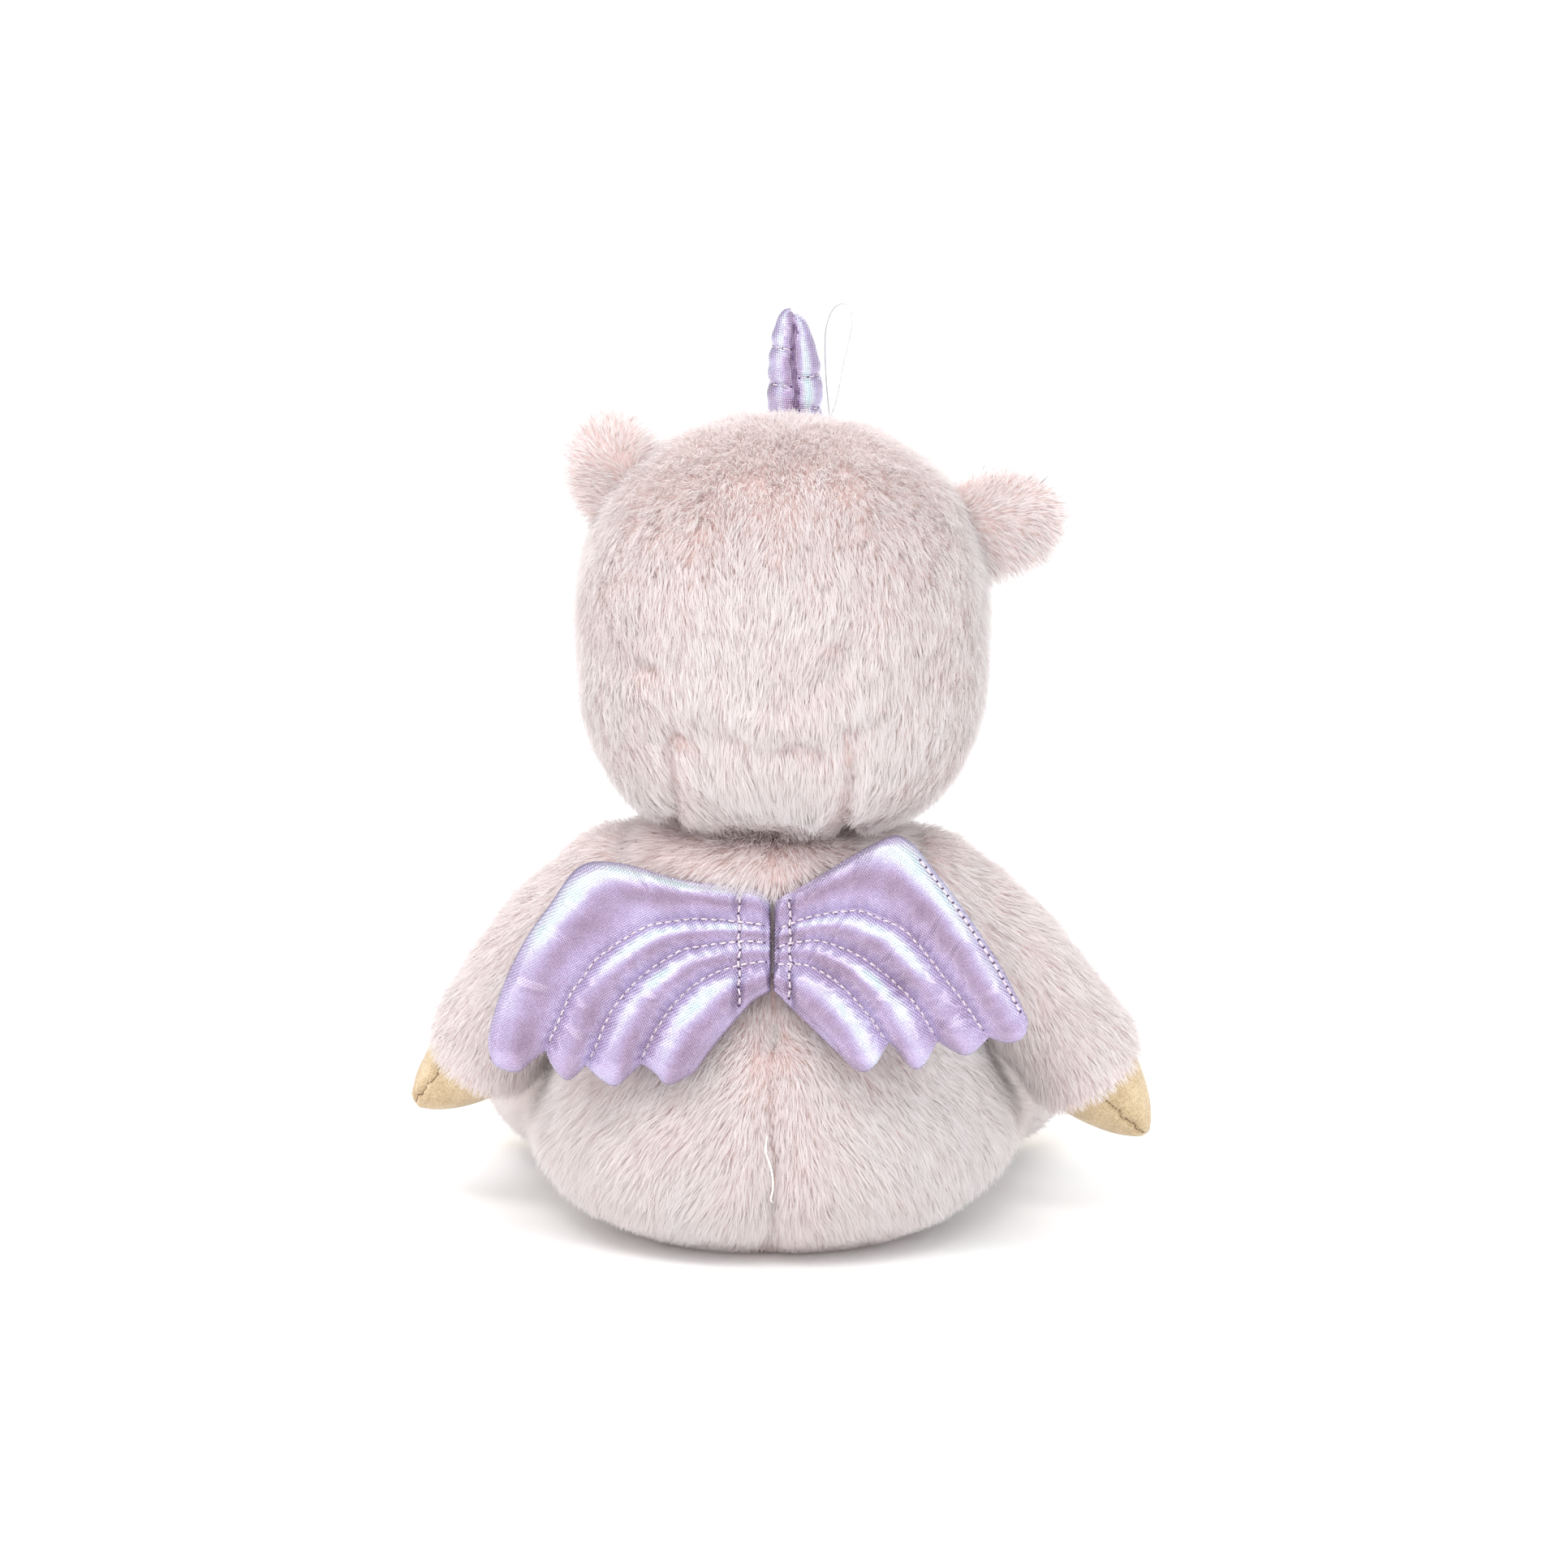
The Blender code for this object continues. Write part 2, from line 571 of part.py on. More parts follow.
def wing(side):
    """Two foil panels with wadding between, hinged on the line sewn to the back."""
    sign = 1 if side == "left" else -1
    lean = Matrix.Rotation(WING_LEAN, 4, "X")
    raise_up = Matrix.Rotation(-sign * WING_RAISE[side], 4, "Y")
    turn = Matrix.Rotation(sign * WING_TURN[side], 4, "Z")
    hinge = WING_ROOT + Vector((sign * WING_ROOT_X, 0, 0))
    place = Matrix.Translation(hinge) @ lean @ turn @ raise_up
    layers = (("outer", "foil", FOIL_THICK, WADDING_THICK / 2 + GAP + FOIL_THICK / 2, 1.0),
              ("wadding", "fibre", WADDING_THICK, 0.0, WADDING_INSET),
              ("inner", "foil", FOIL_THICK, -WADDING_THICK / 2 - GAP - FOIL_THICK / 2, 1.0))
    for layer, kind, thickness, back, shrink in layers:
        name = f"wing_{side}_{layer}"
        curve = bpy.data.curves.new(name, "CURVE")
        curve.dimensions = "2D"
        curve.fill_mode = "BOTH"
        curve.extrude = thickness / 2
        spline = curve.splines.new("POLY")
        spline.points.add(len(WING_OUTLINE) - 1)
        for corner, (out, up) in zip(spline.points, WING_OUTLINE):
            x = 0.0378 + (out - 0.0378) * shrink
            corner.co = (sign * x, up * shrink, 0.0, 1.0)
        spline.use_cyclic_u = True
        obj = add_object(name, curve, kind)
        stand = Matrix.Rotation(math.radians(90), 4, "X")
        obj.matrix_world = place @ Matrix.Translation((0.0, back, 0.0)) @ stand


def wing_stitching():
    """The thread that sews the wings to the middle of the back, in front of both wings."""
    points = []
    for i in range(6):
        height = 0.0860 + i * 0.0036
        points.append((0.0, torso_half_width(height) * TORSO_DEPTH + THREAD_R + GAP, height))
    thread("wing_stitching", points, THREAD_R, "thread")


# ---- assembly ---------------------------------------------------------------------------

SOCKETS = [limb_socket(name) for name in LIMBS]
torso(SOCKETS)
back_seam()
for limb_name in LIMBS:
    limb(limb_name)
head()
horn()
for ear_side in EARS:
    ear(ear_side)
for wing_side in WING_TURN:
    wing(wing_side)
wing_stitching()
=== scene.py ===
"""Looks of the seated plush unicorn: pile, quilted foil wings, foil horn, suede and stitching."""
import json
import math

import bmesh
import bpy
import numpy as np
from mathutils import Matrix, Vector
from mathutils.bvhtree import BVHTree

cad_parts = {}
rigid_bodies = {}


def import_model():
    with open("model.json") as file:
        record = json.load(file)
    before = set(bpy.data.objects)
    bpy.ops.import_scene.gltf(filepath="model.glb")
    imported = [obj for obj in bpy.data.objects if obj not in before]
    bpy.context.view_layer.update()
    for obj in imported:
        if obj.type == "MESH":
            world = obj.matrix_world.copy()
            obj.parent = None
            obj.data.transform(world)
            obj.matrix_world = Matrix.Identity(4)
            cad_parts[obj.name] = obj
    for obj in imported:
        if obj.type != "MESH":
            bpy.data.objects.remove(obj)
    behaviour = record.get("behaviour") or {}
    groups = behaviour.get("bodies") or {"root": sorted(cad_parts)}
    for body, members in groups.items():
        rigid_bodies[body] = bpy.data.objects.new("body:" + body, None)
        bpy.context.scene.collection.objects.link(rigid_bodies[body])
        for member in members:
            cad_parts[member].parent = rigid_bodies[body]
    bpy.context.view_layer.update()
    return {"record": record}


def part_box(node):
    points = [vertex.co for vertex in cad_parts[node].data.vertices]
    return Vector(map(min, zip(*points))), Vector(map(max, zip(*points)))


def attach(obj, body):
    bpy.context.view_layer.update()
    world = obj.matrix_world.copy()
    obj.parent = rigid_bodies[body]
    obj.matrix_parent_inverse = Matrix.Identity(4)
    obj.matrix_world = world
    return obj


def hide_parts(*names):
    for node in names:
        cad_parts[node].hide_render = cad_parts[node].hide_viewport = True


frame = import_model()
JOINTS = {joint["name"]: joint for joint in frame["record"]["behaviour"]["joints"]}


def joint_at(name):
    return np.array(JOINTS[name]["pos_m"], float)


# ---- camera, light and floor ------------------------------------------------------------

VIEW_ELEVATION = math.radians(12)
VIEW_DISTANCE = 1.6
VIEW_WIDTH = 0.4637               # width of the scene across the frame at the toy
VIEW_TARGET = Vector((-0.0034, 0.0, 0.134))
SENSOR = 36.0
WORLD_LIGHT = 1.26                # white surroundings, as they light the toy
WORLD_SHINE = 0.54                # the same surroundings as the foil mirrors them
LIT_POINT = (0.0, 0.0, 0.13)
# Place, width and height, watts and colour of each soft box
SOFT_BOXES = {
    "key": ((0.30, 0.72, 1.30), (1.3, 0.34), 9.0, (1.0, 0.985, 0.965)),
    "side": ((-1.05, 0.80, 0.62), (0.14, 0.9), 3.2, (0.80, 0.94, 1.0)),
    "left": ((1.10, 0.70, 0.50), (0.18, 0.9), 2.6, (1.0, 0.97, 1.0)),
    "front": ((-0.3, -1.1, 0.8), (0.7, 0.7), 3.0, (1.0, 0.99, 0.98)),
}
FLOOR_SIZE = 12.0
FLOOR_DROP = 0.0005               # keeps the floor clear of the pile under the seat
FLOOR_GREY = 0.93


def make_camera():
    data = bpy.data.cameras.new("camera")
    data.sensor_width = SENSOR
    data.lens = SENSOR * VIEW_DISTANCE / VIEW_WIDTH
    data.clip_start = 0.05
    camera = bpy.data.objects.new("camera", data)
    back = Vector((0.0, math.cos(VIEW_ELEVATION), math.sin(VIEW_ELEVATION)))
    camera.location = VIEW_TARGET + back * VIEW_DISTANCE
    camera.rotation_euler = (-back).to_track_quat("-Z", "Y").to_euler()
    bpy.context.scene.collection.objects.link(camera)
    bpy.context.scene.camera = camera


def soft_box(name, place, size, power, colour):
    data = bpy.data.lights.new(name, "AREA")
    data.shape = "RECTANGLE"
    data.size, data.size_y = size
    data.energy = power
    data.color = colour
    light = bpy.data.objects.new(name, data)
    light.location = place
    light.rotation_euler = (Vector(LIT_POINT) - Vector(place)).to_track_quat("-Z", "Y").to_euler()
    bpy.context.scene.collection.objects.link(light)


def make_studio():
    world = bpy.data.worlds.new("studio")
    world.use_nodes = True
    tree = world.node_tree
    background = tree.nodes["Background"]
    background.inputs["Color"].default_value = (1.0, 1.0, 1.0, 1.0)
    rays = tree.nodes.new("ShaderNodeLightPath")
    dim = tree.nodes.new("ShaderNodeMapRange")    # soft boxes stand out in the foil's shine
    dim.inputs["To Min"].default_value = WORLD_LIGHT
    dim.inputs["To Max"].default_value = WORLD_SHINE
    tree.links.new(rays.outputs["Is Glossy Ray"], dim.inputs["Value"])
    tree.links.new(dim.outputs["Result"], background.inputs["Strength"])
    bpy.context.scene.world = world
    bpy.context.scene.view_settings.view_transform = "Standard"
    for name, (place, size, power, colour) in SOFT_BOXES.items():
        soft_box(name, place, size, power, colour)
    make_floor()


def make_floor():
    bpy.ops.mesh.primitive_plane_add(size=FLOOR_SIZE, location=(0.0, 0.0, -FLOOR_DROP))
    floor = bpy.context.object
    floor.name = "floor"
    paint = bpy.data.materials.new("floor_paper")
    paint.use_nodes = True
    shader = paint.node_tree.nodes["Principled BSDF"]
    shader.inputs["Base Color"].default_value = (FLOOR_GREY, FLOOR_GREY, FLOOR_GREY, 1.0)
    shader.inputs["Roughness"].default_value = 0.9
    floor.data.materials.append(paint)


# ---- materials --------------------------------------------------------------------------

def node_material(name):
    made = bpy.data.materials.new(name)
    made.use_nodes = True
    tree = made.node_tree
    return made, tree, tree.nodes["Principled BSDF"]


def tint(tree, value, stops):
    """Colour picked by a value socket from stops of place and colour."""
    node = tree.nodes.new("ShaderNodeValToRGB")
    tree.links.new(value, node.inputs["Fac"])
    elements = node.color_ramp.elements
    while len(elements) < len(stops):
        elements.new(0.5)
    for element, (place, colour) in zip(elements, stops):
        element.position = place
        element.color = (*colour, 1.0)
    return node.outputs["Color"]


def feed(tree, socket, value):
    """Link a socket to another one, or set it to a colour or a number."""
    if hasattr(value, "is_linked"):
        tree.links.new(value, socket)
    elif isinstance(value, tuple):
        socket.default_value = (*value, 1.0)
    else:
        socket.default_value = value


def calculate(tree, operation, *values):
    node = tree.nodes.new("ShaderNodeMath")
    node.operation = operation
    for socket, value in zip(node.inputs, values):
        feed(tree, socket, value)
    return node.outputs["Value"]


def noise(tree, scale, detail=3.0, roughness=0.55, source=None):
    """Noise texture; gives its value."""
    node = tree.nodes.new("ShaderNodeTexNoise")
    node.inputs["Scale"].default_value = scale
    node.inputs["Detail"].default_value = detail
    node.inputs["Roughness"].default_value = roughness
    if source is None:
        source = tree.nodes.new("ShaderNodeTexCoord").outputs["Object"]
    tree.links.new(source, node.inputs["Vector"])
    return node.outputs["Fac"]


def bump(tree, height, strength, distance, under=None):
    """Relief from a value socket over an earlier relief; gives its normal."""
    node = tree.nodes.new("ShaderNodeBump")
    node.inputs["Strength"].default_value = strength
    node.inputs["Distance"].default_value = distance
    tree.links.new(height, node.inputs["Height"])
    if under is not None:
        tree.links.new(under, node.inputs["Normal"])
    return node.outputs["Normal"]


def coat(tree, shader, colour, roughness, relief=None):
    """Set a shader's colour, roughness and relief."""
    tree.links.new(colour, shader.inputs["Base Color"])
    shader.inputs["Roughness"].default_value = roughness
    if relief is not None:
        tree.links.new(relief, shader.inputs["Normal"])


def mix_colour(tree, factor, first, second, blend="MIX"):
    node = tree.nodes.new("ShaderNodeMix")
    node.data_type = "RGBA"
    node.blend_type = blend
    for socket, value in zip((node.inputs[0], node.inputs[6], node.inputs[7]), (factor, first, second)):
        feed(tree, socket, value)
    return node.outputs[2]


PILE_ROOT = (0.88, 0.73, 0.70)
PILE_MID = (0.92, 0.835, 0.825)
PILE_TIP = (0.945, 0.905, 0.895)
PILE_PALE_TIP = (0.955, 0.945, 0.955)
PILE_GLOW = 0.50                  # share of light that passes through a fibre


def pile_material():
    """Pile fibres: colour runs from root to tip along V and from pink to pale across U."""
    made, tree, shader = node_material("pile")
    uv = tree.nodes.new("ShaderNodeUVMap")
    uv.uv_map = "OFBake"
    split = tree.nodes.new("ShaderNodeSeparateXYZ")
    tree.links.new(uv.outputs["UV"], split.inputs["Vector"])
    pink = tint(tree, split.outputs["Y"], [(0.0, PILE_ROOT), (0.45, PILE_MID), (1.0, PILE_TIP)])
    pale = tint(tree, split.outputs["Y"], [(0.0, PILE_MID), (0.35, PILE_TIP), (1.0, PILE_PALE_TIP)])
    colour = mix_colour(tree, split.outputs["X"], pink, pale)
    coat(tree, shader, colour, 0.8)
    shader.inputs["Specular IOR Level"].default_value = 0.15
    glow = tree.nodes.new("ShaderNodeBsdfTranslucent")
    tree.links.new(colour, glow.inputs["Color"])
    both = tree.nodes.new("ShaderNodeMixShader")
    both.inputs["Fac"].default_value = PILE_GLOW
    tree.links.new(shader.outputs["BSDF"], both.inputs[1])
    tree.links.new(glow.outputs["BSDF"], both.inputs[2])
    tree.links.new(both.outputs["Shader"], tree.nodes["Material Output"].inputs["Surface"])
    return made


def backing_material():
    """Knitted backing under the pile."""
    made, tree, shader = node_material("pile_backing")
    texture = noise(tree, 900.0)
    shade = tint(tree, texture, [(0.3, (0.80, 0.58, 0.56)), (0.7, (0.88, 0.70, 0.67))])
    coat(tree, shader, shade, 0.95, bump(tree, texture, 0.5, 0.0005))
    return made


def suede_material():
    """Brushed tan suede: mottled nap with fine grain."""
    made, tree, shader = node_material("suede_nap")
    cloud = noise(tree, 130.0, 4.0)
    grain = noise(tree, 1500.0, 3.0)
    shade = tint(tree, cloud, [(0.32, (0.53, 0.40, 0.245)), (0.52, (0.61, 0.47, 0.30)),
                               (0.72, (0.68, 0.54, 0.36))])
    fine = tint(tree, grain, [(0.34, (0.60, 0.55, 0.48)), (0.60, (1.0, 1.0, 1.0))])
    relief = bump(tree, grain, 0.70, 0.0005, bump(tree, cloud, 0.15, 0.0006))
    coat(tree, shader, mix_colour(tree, 0.7, shade, fine, "MULTIPLY"), 0.92, relief)
    shader.inputs["Specular IOR Level"].default_value = 0.15
    shader.inputs["Sheen Weight"].default_value = 0.35
    shader.inputs["Sheen Roughness"].default_value = 0.4
    return made


def foil_material(name, turn):
    """Foil printed on fine knit: lilac ground, woven ribs with painted shade between them, and painted
    iridescent highlights on the crests with painted shade on the slopes.
    """
    made, tree, shader = node_material(name)
    coord = tree.nodes.new("ShaderNodeTexCoord")
    mapping = tree.nodes.new("ShaderNodeMapping")
    mapping.inputs["Rotation"].default_value = (0.0, turn, 0.0)
    tree.links.new(coord.outputs["Object"], mapping.inputs["Vector"])
    threads = []
    for direction, scale in (("X", 545.0), ("Z", 470.0)):
        wave = tree.nodes.new("ShaderNodeTexWave")
        wave.wave_type = "BANDS"
        wave.bands_direction = direction
        wave.inputs["Scale"].default_value = scale
        wave.inputs["Distortion"].default_value = 0.7
        wave.inputs["Detail"].default_value = 1.0
        tree.links.new(mapping.outputs["Vector"], wave.inputs["Vector"])
        threads.append(wave.outputs["Fac"])
    weave = calculate(tree, "MULTIPLY", *threads)
    # The patches paint light and dark mottling into the colour as a painted reflection, and also give
    # relief
    patches = noise(tree, 62.0, 5.0, 0.62, mapping.outputs["Vector"])
    specks = noise(tree, 1500.0, 2.0, 0.6)
    # Painted light stored on the mesh: painted shade on the slopes, painted highlights on the crests
    painted_crest_light = tree.nodes.new("ShaderNodeAttribute")
    painted_crest_light.attribute_name = "painted_crest_light"
    level = painted_crest_light.outputs["Fac"]
    for source, mean, share in ((patches, 0.5, 0.78), (specks, 0.5, 0.13), (weave, 0.25, 0.20)):
        centred = calculate(tree, "SUBTRACT", source, mean)
        level = calculate(tree, "MULTIPLY_ADD", centred, share, level)
    # Ground colour with painted light: the dark mauve-grey stops are painted shade, the icy and cyan
    # stops painted highlights
    ground_with_painted_light = tint(tree, level, [(0.02, (0.36, 0.26, 0.38)), (0.22, (0.46, 0.35, 0.51)),
                                (0.38, (0.55, 0.44, 0.67)), (0.58, (0.67, 0.61, 0.86)),
                                (0.72, (0.88, 0.90, 1.0)), (0.88, (0.78, 0.97, 1.0))])
    facing = tree.nodes.new("ShaderNodeLayerWeight")
    facing.inputs["Blend"].default_value = 0.35
    rim = tint(tree, facing.outputs["Facing"],
               [(0.0, (1.0, 0.97, 1.0)), (0.45, (0.94, 0.98, 1.0)), (0.70, (0.84, 0.98, 1.0)),
                (0.95, (1.0, 0.84, 0.95))])
    # Darker between the woven threads: painted shade
    dark = tint(tree, weave, [(0.0, (0.62, 0.54, 0.62)), (0.45, (1.0, 1.0, 1.0))])
    glint = tint(tree, specks, [(0.35, (0.88, 0.86, 0.89)), (0.60, (1.0, 1.0, 1.0))])
    colour = ground_with_painted_light
    for share, layer in ((0.85, rim), (0.30, dark), (0.22, glint)):
        colour = mix_colour(tree, share, colour, layer, "MULTIPLY")
    tree.links.new(colour, shader.inputs["Base Color"])
    shader.inputs["Metallic"].default_value = 0.62
    rough = tree.nodes.new("ShaderNodeMapRange")
    rough.inputs["To Min"].default_value = 0.16
    rough.inputs["To Max"].default_value = 0.42
    tree.links.new(specks, rough.inputs["Value"])
    tree.links.new(rough.outputs["Result"], shader.inputs["Roughness"])
    shader.inputs["Coat Weight"].default_value = 0.6
    shader.inputs["Coat Roughness"].default_value = 0.28
    shader.inputs["Coat IOR"].default_value = 1.7
    grit = bump(tree, specks, 0.22, 0.0003, bump(tree, patches, 0.38, 0.002))
    tree.links.new(bump(tree, weave, 0.65, 0.0005, grit), shader.inputs["Normal"])
    return made


def thread_material(name, low, high):
    """Twisted thread with small light and dark turns: painted highlights and painted shade on the twist.
    """
    made, tree, shader = node_material(name)
    twist_relief_and_light = noise(tree, 2200.0, 2.0)
    # Low colour is painted shade and high colour a painted highlight on the turns
    shade = tint(tree, twist_relief_and_light, [(0.35, low), (0.65, high)])
    coat(tree, shader, shade, 0.6, bump(tree, twist_relief_and_light, 0.5, 0.0002))
    return made


def gloss_material(name, low, high, roughness):
    """Moulded plastic with a faint swirl in its colour."""
    made, tree, shader = node_material(name)
    coat(tree, shader, tint(tree, noise(tree, 160.0, 3.0), [(0.3, low), (0.7, high)]), roughness)
    shader.inputs["Coat Weight"].default_value = 0.5
    return made


def nylon_material():
    """Clear line with faint clouding and drawing marks."""
    made, tree, shader = node_material("clear_nylon")
    cloud = noise(tree, 700.0, 3.0)
    shade = tint(tree, cloud, [(0.3, (0.52, 0.53, 0.55)), (0.7, (0.68, 0.69, 0.71))])
    coat(tree, shader, shade, 0.15, bump(tree, cloud, 0.2, 0.0001))
    shader.inputs["Transmission Weight"].default_value = 0.12
    shader.inputs["IOR"].default_value = 1.45
    return made


def fibre_material(name, low, high, scale, depth):
    """Matted filling: fine crossed strands, or beads where the scale is coarse."""
    made, tree, shader = node_material(name)
    mat = noise(tree, scale, 6.0, 0.7)
    coat(tree, shader, tint(tree, mat, [(0.3, low), (0.7, high)]), 0.9, bump(tree, mat, 0.8, depth))
    return made


# ---- geometry helpers -------------------------------------------------------------------

def smooth_through(points, count):
    """Evenly spaced points on a smooth curve through the given points."""
    pts = np.array(points, float)
    pts = np.vstack([2 * pts[0] - pts[1], pts, 2 * pts[-1] - pts[-2]])
    fine = []
    for i in range(1, len(pts) - 2):
        a, b, c, d = pts[i - 1:i + 3]
        for t in np.linspace(0, 1, 24, endpoint=False):
            fine.append(0.5 * (2 * b + (c - a) * t + (2 * a - 5 * b + 4 * c - d) * t * t
                               + (3 * b - a - 3 * c + d) * t ** 3))
    fine = np.array(fine + [pts[-2]])
    run = run_along(fine)
    at = np.linspace(0, run[-1], count)
    return np.stack([np.interp(at, run, fine[:, k]) for k in range(pts.shape[1])], axis=1)


def run_along(line):
    """Distance along a line at each of its points."""
    return np.concatenate([[0.0], np.cumsum(np.linalg.norm(np.diff(line, axis=0), axis=1))])


def ring_turns(around):
    return np.linspace(0, math.tau, around, endpoint=False)


def unit(vectors):
    return vectors / np.maximum(np.linalg.norm(vectors, axis=-1, keepdims=True), 1e-12)


def value_noise(points, cell, seed):
    """Smooth random values from -1 to 1 on points, with features about a cell across."""
    q = points / cell + 57.3 * (seed + 1)
    base = np.floor(q).astype(np.int64)
    f = q - base
    f = f * f * (3 - 2 * f)
    total = np.zeros(len(points))
    for dx in (0, 1):
        for dy in (0, 1):
            for dz in (0, 1):
                h = ((base[:, 0] + dx) * 374761393 + (base[:, 1] + dy) * 668265263
                     + (base[:, 2] + dz) * 2147483647 + seed * 974634777)
                h = (h ^ (h >> 13)) * 1274126177
                h = ((h ^ (h >> 16)) & 0xFFFFFF) / float(0xFFFFFF)
                w = ((f[:, 0] if dx else 1 - f[:, 0]) * (f[:, 1] if dy else 1 - f[:, 1])
                     * (f[:, 2] if dz else 1 - f[:, 2]))
                total += h * w
    return total * 2 - 1


def noise_way(points, cell, seed):
    """Random directions on points, from value_noise in each axis."""
    return np.stack([value_noise(points, cell, seed + k) for k in range(3)], axis=1)


def mesh_object(name, verts, faces, material):
    mesh = bpy.data.meshes.new(name)
    mesh.from_pydata([tuple(v) for v in verts], [], [tuple(int(i) for i in f) for f in faces])
    mesh.update()
    mesh.shade_smooth()
    obj = bpy.data.objects.new(name, mesh)
    bpy.context.scene.collection.objects.link(obj)
    mesh.materials.append(material)
    return obj


def grid_faces(rows, columns, closed):
    """Quads of a grid whose rows are rings (closed) or strips."""
    faces = []
    last = columns if closed else columns - 1
    for i in range(rows - 1):
        for j in range(last):
            k = (j + 1) % columns
            faces.append((i * columns + j, i * columns + k, (i + 1) * columns + k, (i + 1) * columns + j))
    return faces


def tube_grid(centres, radii, around):
    """Rings along a centre line, carried along without twist."""
    rows = []
    side = None
    for i, centre in enumerate(centres):
        ahead = centres[min(i + 1, len(centres) - 1)] - centres[max(i - 1, 0)]
        ahead = ahead / np.linalg.norm(ahead)
        if side is None:
            side = np.cross(ahead, (0.0, 0.0, 1.0) if abs(ahead[2]) < 0.9 else (0.0, 1.0, 0.0))
        side = side - ahead * side.dot(ahead)
        side = side / np.linalg.norm(side)
        up = np.cross(ahead, side)
        turns = ring_turns(around)
        rows.append(centre + radii[i] * (np.cos(turns)[:, None] * side + np.sin(turns)[:, None] * up))
    return np.concatenate(rows)


def set_painted_crest_light(obj, values):
    """Store painted light on a puffed foil surface, from 0 for painted shade on a slope to 1 for a
    painted highlight on a crest.
    """
    layer = obj.data.attributes.new("painted_crest_light", "FLOAT", "POINT")
    layer.data.foreach_set("value", np.clip(values, 0, 1).astype(np.float32))


def outward(obj):
    bm = bmesh.new()
    bm.from_mesh(obj.data)
    bmesh.ops.remove_doubles(bm, verts=bm.verts, dist=0.00002)
    bmesh.ops.recalc_face_normals(bm, faces=bm.faces)
    bm.to_mesh(obj.data)
    bm.free()
    obj.data.update()
    return obj


def read_mesh(obj):
    """Vertices, their normals and the triangles of an object at the origin."""
    mesh = obj.data
    mesh.calc_loop_triangles()
    verts = np.empty(len(mesh.vertices) * 3)
    mesh.vertices.foreach_get("co", verts)
    normals = np.empty(len(mesh.vertices) * 3)
    mesh.vertex_normals.foreach_get("vector", normals)
    tris = np.empty(len(mesh.loop_triangles) * 3, np.int32)
    mesh.loop_triangles.foreach_get("vertices", tris)
    return verts.reshape(-1, 3), normals.reshape(-1, 3), tris.reshape(-1, 3)


# ---- pile -------------------------------------------------------------------------------

PILE_LENGTH = 0.0080
PILE_WIDTH = 0.00021
PILE_DENSITY = 4.2e6              # strands on a square metre of backing
TUFT = 0.0019                     # size of the tufts that the tips gather in
LAY_SWIRLS = ((0.28, 0.012), (0.22, 0.0035))    # strength and cell size
UNEVEN_STAND = 0.16
UNEVEN_LENGTH = 0.10
LOOSE = 0.10                      # scatter of single strands
PULL_LEAST = 0.12                 # share of the way that a tip is pulled to its tuft's middle
PULL_SPREAD = 0.20
ROOT_DEPTH = 0.0004               # the strands start this far under the backing
FLOOR_GAP = 0.0002
PILE_SECTORS = 6                  # the torso's and the head's pile are grown in this many pieces


